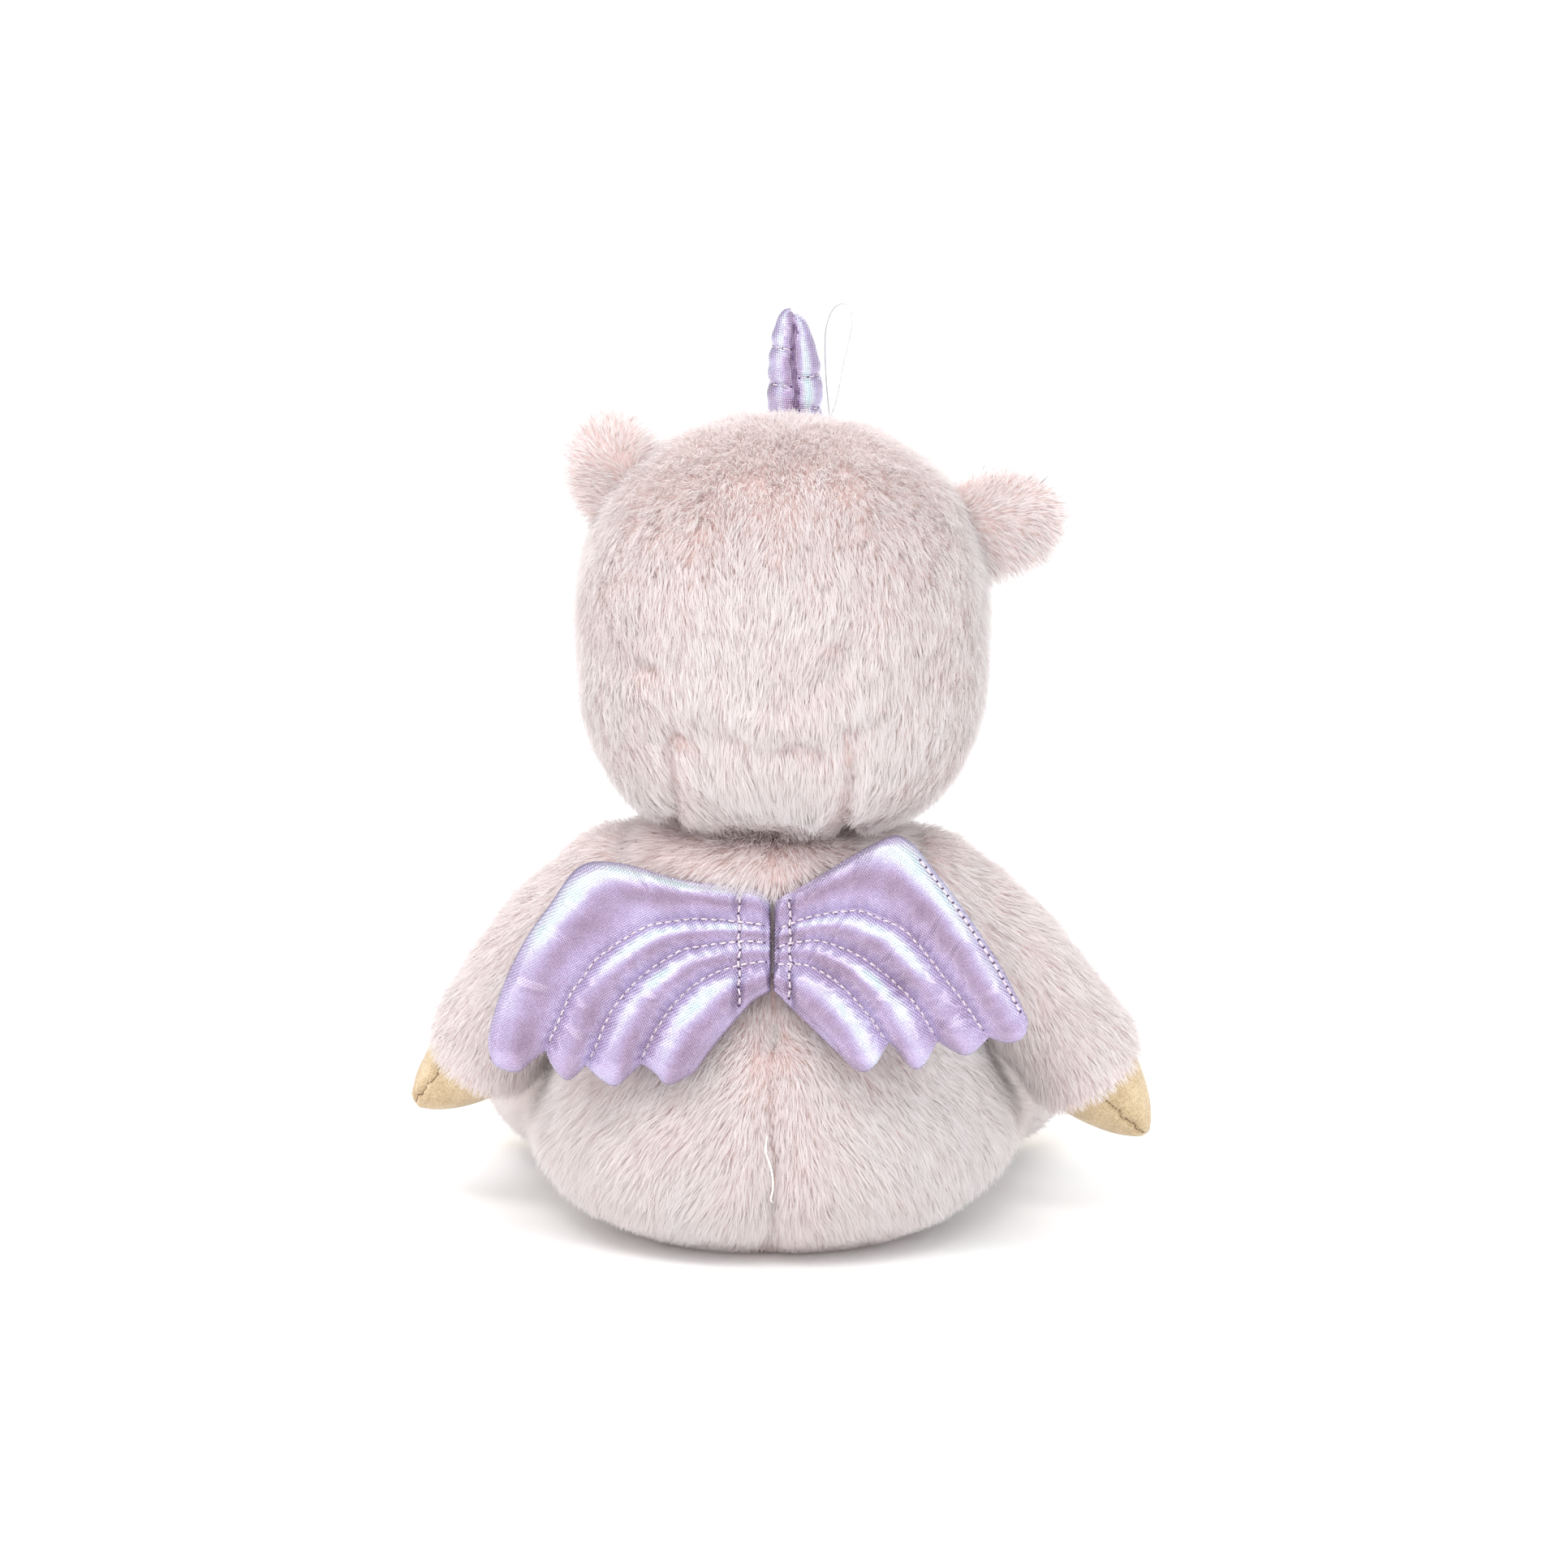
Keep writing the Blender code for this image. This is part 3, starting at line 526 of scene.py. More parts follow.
def pile(name, skin, body, flow, length, stand, shade, keep, seed, material):
    """Grow pile on a skin. flow, length, stand, shade and keep are functions of the root points
    and skin normals: lay direction, strand length, how upright, colour and where; shade is also
    given the random numbers."""
    rng = np.random.default_rng(seed)
    verts, normals, tris = read_mesh(skin)
    a, b, c = (verts[tris[:, i]] for i in range(3))
    areas = np.linalg.norm(np.cross(b - a, c - a), axis=1) / 2
    count = int(areas.sum() * PILE_DENSITY)
    pick = rng.choice(len(tris), count, p=areas / areas.sum())
    r1 = np.sqrt(rng.random(count))[:, None]
    r2 = rng.random(count)[:, None]
    weights = np.concatenate([1 - r1, r1 * (1 - r2), r1 * r2], axis=1)
    root = (weights[:, :, None] * verts[tris[pick]]).sum(axis=1)
    normal = unit((weights[:, :, None] * normals[tris[pick]]).sum(axis=1))
    wanted = keep(root, normal)
    root, normal = root[wanted], normal[wanted]
    count = len(root)

    lay = flow(root, normal)
    for i, (strength, cell_size) in enumerate(LAY_SWIRLS):
        lay = lay + strength * noise_way(root, cell_size, seed + 12 * i)
    lay = unit(lay - normal * (lay * normal).sum(axis=1, keepdims=True))
    upright = stand(root, normal)[:, None]
    upright = np.clip(upright + UNEVEN_STAND * value_noise(root, 0.006, seed + 5)[:, None], 0.02, 1.0)
    size = (length(root, normal) * (0.86 + 0.28 * rng.random(count))
            * (1 + UNEVEN_LENGTH * value_noise(root, 0.005, seed + 9)))[:, None]
    loose = rng.normal(0.0, LOOSE, (count, 3))
    first = unit(normal * (0.72 + 0.5 * upright) + lay * (0.75 - 0.65 * upright) + loose)
    second = unit(normal * (0.16 + 1.0 * upright) + lay * (1.05 - 0.75 * upright) + 1.5 * loose)
    middle = root + first * size * 0.46
    tip = middle + second * size * 0.54

    wobble = noise_way(root, 0.004, seed + 20)
    cell = np.floor((tip + wobble * 0.0012) / TUFT).astype(np.int64)
    key = cell[:, 0] * 73856093 ^ cell[:, 1] * 19349663 ^ cell[:, 2] * 83492791
    _, member = np.unique(key, return_inverse=True)
    members = np.bincount(member).astype(float)
    centre = np.stack([np.bincount(member, tip[:, k]) / members for k in range(3)], axis=1)[member]
    pull = (PULL_LEAST + PULL_SPREAD * rng.random(count))[:, None]
    bulge = tip - centre
    tip = tip + (centre - tip) * pull
    middle = middle + (centre - middle - second * size * 0.45) * pull * 0.28

    side = unit(np.cross(second, normal) + 0.35 * rng.normal(0.0, 1.0, (count, 3)))
    half = (PILE_WIDTH / 2) * (0.75 + 0.5 * rng.random(count))[:, None]
    start = root - normal * ROOT_DEPTH
    points = np.stack([start - side * half, start + side * half, middle - side * half * 0.85,
                       middle + side * half * 0.85, tip], axis=1)
    points[:, :, 2] = np.maximum(points[:, :, 2], FLOOR_GAP)

    soft = unit(normal + 0.40 * bulge / TUFT + 0.12 * rng.normal(0.0, 1.0, (count, 3)))
    facing = unit(np.cross(side, second))
    facing = facing * np.sign((facing * normal).sum(axis=1, keepdims=True) + 1e-9)
    shading = unit(0.72 * soft + 0.28 * facing)
    build_strands(name, points, shading, shade(root, normal, rng), body, material)


STRAND_POINTS = 5                 # two at the root, two in the middle and the tip
STRAND_FACES = [0, 1, 3, 2, 2, 3, 4]    # corners of a quad and then of a triangle


def build_strands(name, points, shading, tone, body, material):
    """Write strands of five points each as one mesh of ribbons."""
    count = len(points)
    corners = len(STRAND_FACES)
    mesh = bpy.data.meshes.new(name)
    mesh.vertices.add(count * STRAND_POINTS)
    mesh.vertices.foreach_set("co", points.reshape(-1).astype(np.float32))
    base = (np.arange(count) * STRAND_POINTS)[:, None]
    loops = (base + np.array(STRAND_FACES)).reshape(-1).astype(np.int32)
    mesh.loops.add(count * corners)
    mesh.loops.foreach_set("vertex_index", loops)
    mesh.polygons.add(count * 2)
    starts = (np.arange(count)[:, None] * corners + np.array([0, 4])).reshape(-1).astype(np.int32)
    mesh.polygons.foreach_set("loop_start", starts)
    mesh.update(calc_edges=True)
    uv = mesh.uv_layers.new(name="OFBake")
    along = np.array([0.03, 0.03, 0.5, 0.5, 0.5, 0.5, 0.97])
    across = np.repeat(np.clip(tone, 0.02, 0.98)[:, None], corners, axis=1)
    coords = np.stack([across, np.broadcast_to(along, across.shape)], axis=2)
    uv.data.foreach_set("uv", coords.reshape(-1).astype(np.float32))
    mesh.shade_smooth()
    mesh.normals_split_custom_set_from_vertices(np.repeat(shading, STRAND_POINTS, axis=0))
    obj = bpy.data.objects.new(name, mesh)
    bpy.context.scene.collection.objects.link(obj)
    mesh.materials.append(material)
    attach(obj, body)


def sector_of(way):
    """Number of the sector round the vertical that each point is in."""
    turn = np.arctan2(way[:, 1], way[:, 0]) / math.tau + 1
    return np.floor(turn * PILE_SECTORS).astype(int) % PILE_SECTORS


def groove(distance, width):
    """1 in the middle of a seam, falling to 0 over about its width."""
    return np.exp(-(distance / width) ** 2)


# ---- skins ------------------------------------------------------------------------------

HEAD_PLUMP = 0.0006               # the head's backing stands this far outside the CAD cover
ARM_PLUMP = 0.0016                # the arms' backing stands this far outside the CAD sleeve
SKIN_DEPTH = 0.0016               # the backing lies this far inside the CAD fur cover
PILE = pile_material()
BACKING = backing_material()
SUEDE = suede_material()
THREAD = thread_material("mauve_thread", (0.46, 0.36, 0.44), (0.80, 0.74, 0.78))
DARK_THREAD = thread_material("plum_thread", (0.10, 0.05, 0.15), (0.26, 0.15, 0.32))
# Near-black needle holes: painted shade in the holes
NEEDLE_HOLE_SHADE = thread_material("needle_hole", (0.045, 0.020, 0.075), (0.08, 0.04, 0.12))
FOIL_HORN = foil_material("foil_knit_horn", math.radians(3))
FOILS = {"left": foil_material("foil_knit_left", math.radians(-28)),
         "right": foil_material("foil_knit_right", math.radians(32))}
PALE_THREAD = thread_material("pale_thread", (0.80, 0.76, 0.70), (0.95, 0.93, 0.88))
NOSE_THREAD = thread_material("nose_thread", (0.30, 0.18, 0.17), (0.48, 0.31, 0.29))
SUEDE_THREAD = thread_material("suede_thread", (0.20, 0.12, 0.06), (0.36, 0.24, 0.13))
EYE_GLOSS = gloss_material("eye_gloss", (0.010, 0.006, 0.006), (0.035, 0.020, 0.016), 0.06)
NYLON = nylon_material()

TORSO_DEPTH = 0.84                # depth over width
# Height and half width of the body from the seat up
TORSO_LINE = [(0.0, 0.0), (0.0, 0.020), (0.0, 0.0370), (0.005, 0.0485), (0.012, 0.0575),
              (0.022, 0.0632), (0.034, 0.0645), (0.048, 0.0615), (0.063, 0.0560),
              (0.079, 0.0515), (0.093, 0.0490), (0.104, 0.0472), (0.113, 0.0440),
              (0.119, 0.0395), (0.1235, 0.0310), (0.1255, 0.0180), (0.1260, 0.0)]
NECK = joint_at("head_turn")
HEAD_LOW, HEAD_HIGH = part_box("head_stuffing")
HEAD_CENTRE = np.array([(HEAD_LOW[0] + HEAD_HIGH[0]) / 2, (HEAD_LOW[1] + HEAD_HIGH[1]) / 2,
                        HEAD_HIGH[2] - (HEAD_HIGH[0] - HEAD_LOW[0]) / 2])


def back_line(height):
    """How far the back seam strays from the middle at a height."""
    return 0.0007 * np.sin(height / 0.0075 + 0.8) + 0.0004 * np.sin(height / 0.0031)


def torso_skin():
    """Pear-shaped body: flat seat, seam pulled in down the back and a fold at each hip."""
    rows, around = 72, 96
    line = smooth_through(TORSO_LINE, rows)
    turns = ring_turns(around)
    cos, sin = np.cos(turns), np.sin(turns)
    squared = (np.abs(cos) ** 2.25 + np.abs(sin) ** 2.25) ** (-1 / 2.25)
    verts = []
    for height, radius in line:
        inset = SKIN_DEPTH if height > 0.002 else 0.0
        reach = max(radius - inset, 0.0) * squared
        flatter = np.interp(height, (0.062, 0.084, 0.102, 0.114), (0.0, 0.17, 0.17, 0.0))
        flat_back = np.where(sin > 0, 1 - flatter, 1.0)
        x, y = reach * cos, reach * sin * TORSO_DEPTH * flat_back
        verts.append(np.stack([x, y, np.full(around, max(height, 0.0004))], axis=1))
    verts = np.concatenate(verts)
    away = unit(verts * (1, 1, 0) + (0, 0, 1e-6))
    back = np.clip(away[:, 1], 0, 1)
    rise = np.clip(verts[:, 2] / 0.02, 0, 1)
    push = 0.0012 * value_noise(verts, 0.030, 3) + 0.0006 * value_noise(verts, 0.012, 4)
    seam = verts[:, 0] - back_line(verts[:, 2])
    low = np.clip((0.050 - verts[:, 2]) / 0.012, 0, 1)
    under_wings = np.clip((0.082 - verts[:, 2]) / 0.02, 0, 1)
    push -= (0.0014 + 0.0016 * low) * groove(seam, 0.0040) * back * under_wings
    push -= 0.0028 * groove(verts[:, 0] + 0.0006, 0.0050) * groove(verts[:, 2] - 0.0665, 0.0045) * back
    fold = verts[:, 0] - (0.0615 + 0.06 * (verts[:, 2] - 0.038))
    push -= 0.0022 * groove(fold, 0.003) * groove(verts[:, 2] - 0.036, 0.012) * (verts[:, 1] > -0.02)
    forward = np.clip((0.026 - verts[:, 1]) / 0.03, 0, 1)
    push += 0.0078 * groove(verts[:, 2] - 0.028, 0.017) * away[:, 0] ** 2 * forward
    verts = verts + away * (push * rise)[:, None]
    skin = mesh_object("torso_backing", verts, grid_faces(rows, around, True), BACKING)
    return outward(skin)


# Distance across, height and size of the hollows at the back of the head
DIMPLES = ((0.0375, 0.1790, 0.0042), (0.0300, 0.1585, 0.0038), (-0.0155, 0.1875, 0.0034),
           (-0.0100, 0.1560, 0.0030))


def head_dimples(points):
    """Depth of the small hollows at the back of the head, from 0 to 1."""
    total = np.zeros(len(points))
    for across, height, size in DIMPLES:
        gap = ((points[:, 0] - HEAD_CENTRE[0] - across) ** 2 + (points[:, 2] - height) ** 2 * 2.0) ** 0.5
        total += groove(gap, size) * (points[:, 1] > HEAD_CENTRE[1])
    return total


def head_crease(points):
    """Height of the crease across the back of the head, and how strong it is, from 0 to 1."""
    arc = 0.1625 - 0.0045 * np.cos((points[:, 0] - HEAD_CENTRE[0]) / 0.012)
    return arc, np.clip(0.55 + 0.75 * value_noise(points * (1, 0, 0), 0.0085, 15), 0, 1)


def head_skin():
    """Round head, slightly squared, with panel seams and creases at the back."""
    radius = np.array([0.0570, 0.0520, 0.0570]) + HEAD_PLUMP
    rows, around = 80, 110
    polar = np.linspace(0, math.pi, rows)
    turns = ring_turns(around)
    sphere = np.array([(math.sin(p) * math.cos(t), math.sin(p) * math.sin(t), math.cos(p))
                       for p in polar for t in turns])
    power = (2.3 + 0.9 * np.clip(-sphere[:, 2], 0, 1))[:, None]
    squared = (np.abs(sphere) ** power).sum(axis=1) ** (-1 / power[:, 0])
    verts = HEAD_CENTRE + sphere * squared[:, None] * radius
    back = np.clip(sphere[:, 1], 0, 1) ** 0.5
    push = 0.0013 * value_noise(verts, 0.030, 11) + 0.0006 * value_noise(verts, 0.011, 12)
    across, height = verts[:, 0] - HEAD_CENTRE[0], verts[:, 2]
    arc, broken = head_crease(verts)
    push -= 0.0038 * groove(height - arc, 0.0024) * groove(across, 0.026) * back * broken
    push += 0.0014 * groove(height - arc - 0.0065, 0.0045) * groove(across, 0.024) * back
    low = np.clip((0.168 - height) / 0.01, 0, 1) * back
    push -= 0.0020 * low * (groove(across + 0.0185, 0.0022) + groove(across - 0.0320, 0.0022))
    diagonal = (across + 0.0135) * 0.55 + (height - 0.1795) * 0.83
    push -= 0.0024 * groove(diagonal, 0.002) * groove(across + 0.0150, 0.008) * back
    push -= 0.0030 * head_dimples(verts) * (sphere[:, 1] > 0)
    verts = verts + sphere * push[:, None]
    bottom = 0.1262
    verts[:, 2] = np.where(verts[:, 2] < bottom, bottom + (verts[:, 2] - bottom) * 0.25, verts[:, 2])
    skin = mesh_object("head_backing", verts, grid_faces(rows, around, True), BACKING)
    return outward(skin)


# Radius at the root, centre line from the pivot to the hoof's seam, and the hoof's tip
LIMBS = {
    "arm_left": (0.0150, [(0.0455, 0.000, 0.1015), (0.058, -0.001, 0.091), (0.070, -0.004, 0.077),
                          (0.081, -0.008, 0.061), (0.0875, -0.012, 0.0475)], (0.095, -0.018, 0.034)),
    "arm_right": (0.0150, [(-0.0455, 0.000, 0.1010), (-0.0585, 0.000, 0.0895), (-0.072, -0.001, 0.0755),
                           (-0.085, -0.002, 0.060), (-0.0955, -0.003, 0.0440)], (-0.106, -0.005, 0.028)),
    "leg_left": (0.0205, [(0.052, -0.034, 0.0290), (0.059, -0.051, 0.0275), (0.066, -0.068, 0.0255),
                          (0.073, -0.085, 0.0235)], (0.082, -0.107, 0.0225)),
    "leg_right": (0.0205, [(-0.052, -0.034, 0.0290), (-0.060, -0.051, 0.0275),
                           (-0.068, -0.068, 0.0255), (-0.076, -0.084, 0.0235)],
                  (-0.087, -0.105, 0.0225)),
}


def limb_skin(name, seed):
    """Backing of a limb from its ball-shaped root to the hoof seam."""
    radius, path, tip = LIMBS[name]
    radius += ARM_PLUMP if name.startswith("arm") else -SKIN_DEPTH
    path = np.array(path)
    start = unit(path[1] - path[0])
    line = smooth_through(path, 34)
    taper = 1 - (0.020 if name.startswith("arm") else 0.045) * np.linspace(0, len(path) - 1, len(line))
    angles = np.radians(np.linspace(178, 96, 12))
    centres = np.vstack([path[0] + start * radius * math.cos(a) for a in angles] + [line])
    radii = np.concatenate([radius * np.sin(angles), radius * taper])
    centres = np.vstack([centres, line[-1] + unit(np.array(tip) - path[-1]) * 0.0012])
    radii = np.append(radii, radii[-1] * 0.92)
    around = 44
    verts = tube_grid(list(centres), radii, around)
    push = 0.0011 * value_noise(verts, 0.024, seed) + 0.0005 * value_noise(verts, 0.009, seed + 1)
    middle = np.repeat(centres, around, axis=0)
    verts = verts + unit(verts - middle) * push[:, None]
    verts[:, 2] = np.maximum(verts[:, 2], 0.0012)
    skin = mesh_object(name + "_backing", verts, grid_faces(len(centres), around, True), BACKING)
    outward(skin)
    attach(skin, name)
    return skin


# ---- fur pieces -------------------------------------------------------------------------

def away_from(pole):
    """Lay direction that runs over a round form away from a pole direction."""
    pole = unit(np.array(pole, float))
    return lambda root, normal: -(pole - normal * (normal @ pole)[:, None])


def grow_torso():
    skin = torso_skin()
    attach(skin, "torso")
    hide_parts("torso_fur_cover", "neck_gusset")

    def flow(root, normal):
        off = root[:, 0] - back_line(root[:, 2])
        away = np.clip(np.abs(off) / 0.014, 0.30, 1) * np.sign(off) * 0.50
        lay = np.stack([away, np.zeros(len(root)), np.full(len(root), -1.0)], axis=1)
        dimple = root - (-0.0006, 0.048, 0.0665)
        spin = groove(np.linalg.norm(dimple, axis=1), 0.010)[:, None]
        return lay + 1.3 * spin * unit(dimple)

    def length(root, normal):
        off = root[:, 0] - back_line(root[:, 2])
        parted = groove(off, 0.0032) * (normal[:, 1] > 0.2) * (root[:, 2] < 0.075)
        parted += 0.7 * groove(np.linalg.norm(root - (-0.0006, 0.046, 0.0665), axis=1), 0.0060)
        seat = np.clip((root[:, 2] - 0.001) / 0.016, 0, 1)
        under_wing = groove(root[:, 0], 0.012) * groove(root[:, 2] - 0.093, 0.014) * (root[:, 1] > 0)
        parting = 1 - 0.35 * np.clip(parted, 0, 1)
        return PILE_LENGTH * parting * (0.30 + 0.70 * seat) * (1 - 0.65 * under_wing)

    def stand(root, normal):
        return 0.22 + 0.10 * np.clip(normal[:, 2], 0, 1)

    def shade(root, normal, rng):
        # Paler towards the sides: painted rim light
        side = np.clip(np.abs(root[:, 0]) / 0.062, 0, 1) ** 2
        pale = 0.52 + 0.25 * side + 0.22 * value_noise(root, 0.018, 31)
        # Darker along the back seam and in the hollow of the swirl: painted shade
        pale -= 0.20 * groove(root[:, 0] - back_line(root[:, 2]), 0.003) * (normal[:, 1] > 0.2)
        pale -= 0.55 * groove(np.linalg.norm(root - (-0.0006, 0.046, 0.0665), axis=1), 0.0070)
        # Darker towards the top, under the head: painted shade
        pale -= 0.22 * np.clip((root[:, 2] - 0.098) / 0.02, 0, 1)
        return pale + 0.12 * rng.normal(0, 1, len(root))

    for i in range(PILE_SECTORS):
        def keep(root, normal, i=i):
            above_seat = (root[:, 2] > 0.0012) | (normal[:, 2] > -0.5)
            beside_neck = (np.linalg.norm(root[:, :2], axis=1) > 0.016) | (root[:, 2] < 0.121)
            return (sector_of(root) == i) & above_seat & beside_neck
        pile(f"torso_pile_{i}", skin, "torso", flow, length, stand, shade, keep, 100 + i, PILE)
    return skin


def grow_head():
    skin = head_skin()
    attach(skin, "head")
    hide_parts("head_fur_cover")
    over = away_from((0.0, -0.70, 0.70))
    muzzle_low, muzzle_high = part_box("muzzle_cover")
    muzzle_mid = (np.array(muzzle_low) + np.array(muzzle_high)) / 2
    muzzle_half = (np.array(muzzle_high) - np.array(muzzle_low)) / 2
    eyes = [(np.array(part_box("eye_" + s)[0]) + np.array(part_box("eye_" + s)[1])) / 2
            for s in ("left", "right")]
    horn_foot = joint_at("horn_tilt")

    def flow(root, normal):
        lay = over(root, normal)
        back = np.clip(normal[:, 1:2], 0, 1)
        swirl = 0.45 * groove(root[:, 0:1] + 0.045, 0.018) * back
        return unit(lay) + np.array([[-1.0, 0.0, 0.2]]) * swirl

    def length(root, normal):
        face = np.clip((-normal[:, 1] - 0.15) / 0.5, 0, 1)
        base = PILE_LENGTH * (1 - 0.42 * face)
        across = root[:, 0] - HEAD_CENTRE[0]
        low = np.clip((0.168 - root[:, 2]) / 0.01, 0, 1) * (normal[:, 1] > 0.2)
        seams = low * (groove(across + 0.0185, 0.0025) + groove(across - 0.0320, 0.0025))
        arc, broken = head_crease(root)
        crease = groove(root[:, 2] - arc, 0.0022) * groove(across, 0.026) * (normal[:, 1] > 0.2) * broken
        return base * (1 - 0.50 * np.clip(seams + crease + head_dimples(root), 0, 1))

    def stand(root, normal):
        crown = np.clip((root[:, 2] - 0.198) / 0.022, 0, 1) * (normal[:, 1] > 0.02)
        return 0.14 + 0.18 * crown * np.clip(normal[:, 1] * 2.2, 0, 1)

    def shade(root, normal, rng):
        side = np.clip(np.abs(root[:, 0] - HEAD_CENTRE[0]) / 0.056, 0, 1) ** 3
        crown = np.clip((root[:, 2] - 0.198) / 0.022, 0, 1) * np.clip(normal[:, 1] * 1.6, 0, 1)
        across = root[:, 0] - HEAD_CENTRE[0]
        arc, broken = head_crease(root)
        line = groove(root[:, 2] - arc, 0.0016) * groove(across, 0.026) * broken + head_dimples(root)
        # Paler towards the sides and on the crown: painted light
        pale = 0.55 + 0.30 * side + 0.16 * crown + 0.22 * value_noise(root, 0.016, 41)
        # Darker in the crease and the dimples: painted shade
        pale -= 0.50 * np.clip(line, 0, 1) * (normal[:, 1] > 0.2)
        return pale + 0.12 * rng.normal(0, 1, len(root))

    def open_fur(root):
        clear = (((root - muzzle_mid) / (muzzle_half * (0.93, 3.0, 0.93))) ** 2).sum(axis=1) > 1
        for eye in eyes:
            clear &= np.linalg.norm(root - eye, axis=1) > 0.0056
        horn = np.linalg.norm((root - horn_foot)[:, :2], axis=1)
        return clear & ((horn > 0.0072) | (root[:, 2] < 0.2))

    for i in range(PILE_SECTORS):
        def keep(root, normal, i=i):
            beside_neck = np.linalg.norm((root - NECK) * (1, 1, 0), axis=1) > 0.0190
            open_side = beside_neck | (normal[:, 2] > -0.7)
            return (sector_of(root - HEAD_CENTRE) == i) & open_fur(root) & open_side
        pile(f"head_pile_{i}", skin, "head", flow, length, stand, shade, keep, 200 + i, PILE)
    return skin


def grow_limb(name, seed):
    skin = limb_skin(name, seed)
    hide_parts(name + "_fur_sleeve")
    radius, path, tip = LIMBS[name]
    line = smooth_through(path, 30)
    along = unit(np.gradient(line, axis=0))
    seam = line[-1]
    seam_way = unit(np.array(tip) - np.array(path[-1]))
    pivot = np.array(path[0])

    def flow(root, normal):
        near = np.argmin(((root[:, None, :] - line[None]) ** 2).sum(axis=2), axis=1)
        lay = along[near]
        return lay + np.array([[0.0, 0.0, -0.25]])

    def length(root, normal):
        gap = -((root - seam) @ seam_way)
        return PILE_LENGTH * (0.50 + 0.46 * np.clip(gap / 0.010, 0, 1))

    def stand(root, normal):
        return np.full(len(root), 0.18)

    def shade(root, normal, rng):
        # Paler where the pile faces up: painted light from above
        pale = 0.60 + 0.20 * value_noise(root, 0.016, seed) + 0.10 * np.clip(normal[:, 2], 0, 1)
        return pale + 0.10 * rng.normal(0, 1, len(root))

    def keep(root, normal):
        gap = -((root - seam) @ seam_way)
        deep = ((root - pivot) @ unit(np.array(path[1]) - pivot)) > -radius * 1.2
        return (gap > 0.0004) & deep

    pile(name + "_pile", skin, name, flow, length, stand, shade, keep, seed, PILE)


# ---- suede hooves -----------------------------------------------------------------------

# Where the arms' hooves end: they point outwards more than the sleeves do
HOOF_CORNER = {"arm_left": (0.1078, -0.0180, 0.0312), "arm_right": (-0.1124, -0.0050, 0.0254)}
HOOF_WIDER = {"arm_left": 1.25, "arm_right": 1.25}
HOOF_SEAM_TURN = {"arm_left": math.radians(36)}
HOOF_TAPER = 0.05                 # share that the cap's seam narrows for each stretch of the path
HOOF_OVERLAP = 0.0044             # the cap starts this far under the fur's edge


def hoof(name, seed):
    """Suede cap over the end of a limb, seamed from the fur's edge to its corner."""
    radius, path, tip = LIMBS[name]
    path = np.array(path)
    way = unit(np.array(tip) - path[-1])
    seam_r = (radius - 0.0004) * (1 - HOOF_TAPER * (len(path) - 1)) * HOOF_WIDER.get(name, 1.0)
    start = path[-1] - way * HOOF_OVERLAP
    corner = np.array(HOOF_CORNER.get(name, np.array(tip) + way * 0.0010))
    rows, around = 34, 84
    steps = 1 - np.linspace(1, 0, rows) ** 1.5
    taper = (1 - np.clip((steps - 0.14) / 0.86, 0, 1)) ** (0.66 if name in HOOF_CORNER else 0.55)
    radii = seam_r * np.maximum(taper, 0.002)
    lead = unit(corner - start)
    first = unit(np.cross(way, (0.0, 1.0, 0.0)))
    verts, out = [], []
    turns = ring_turns(around)
    for step, reach in zip(steps, radii):
        normal = unit(way * (1 - 0.55 * step) + lead * 0.55 * step)
        side = unit(first - normal * first.dot(normal))
        up = np.cross(normal, side)
        ring = np.cos(turns)[:, None] * side + np.sin(turns)[:, None] * up
        centre = start + (corner - start) * step + way * 0.0022 * math.sin(math.pi * step)
        verts.append(centre + ring * reach)
        out.append(ring)
    verts, out = np.concatenate(verts), np.concatenate(out)
    angle = np.tile(turns, rows)
    step = np.repeat(steps, around)
    start_turn = angle[np.argmax(out[:around, 1])] + HOOF_SEAM_TURN.get(name, 0.0)
    wiggle = 0.0004 * np.sin(step * 21) + 0.0003 * np.sin(step * 47)
    reach = np.repeat(radii, around)
    gap = ((angle - start_turn + math.pi) % math.tau - math.pi) * reach + wiggle * (reach > 0.004)
    push = -0.0012 * groove(gap, 0.0006) + 0.0005 * groove(np.abs(gap) - 0.0019, 0.0011)
    push += 0.00020 * np.sin(step * 74) * groove(gap, 0.0030)
    push *= np.clip(reach / 0.004, 0, 1)
    puckers = np.sin(angle * 23) * np.clip(1 - step / 0.22, 0, 1)
    push += 0.00025 * puckers + 0.0005 * value_noise(verts, 0.011, seed)
    verts = verts + out * push[:, None]
    verts[:, 2] = np.maximum(verts[:, 2], 0.0008)
    cap = mesh_object(name + "_hoof", verts, grid_faces(rows, around, True), SUEDE)
    outward(cap)
    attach(cap, name)
    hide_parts(name + "_hoof_cap")
    sewn = np.arange(2, rows - 5)
    nearest = np.argmin(np.abs(gap.reshape(rows, around)), axis=1)[sewn]
    seam = verts.reshape(rows, around, 3)[sewn, nearest]
    lifts = out.reshape(rows, around, 3)[sewn, nearest]
    stitch_row(name + "_hoof_seam", seam + lifts * 0.0002, lifts, name, 0.0017, 0.0014, 0.00021,
               SUEDE_THREAD)


# ---- stitching --------------------------------------------------------------------------

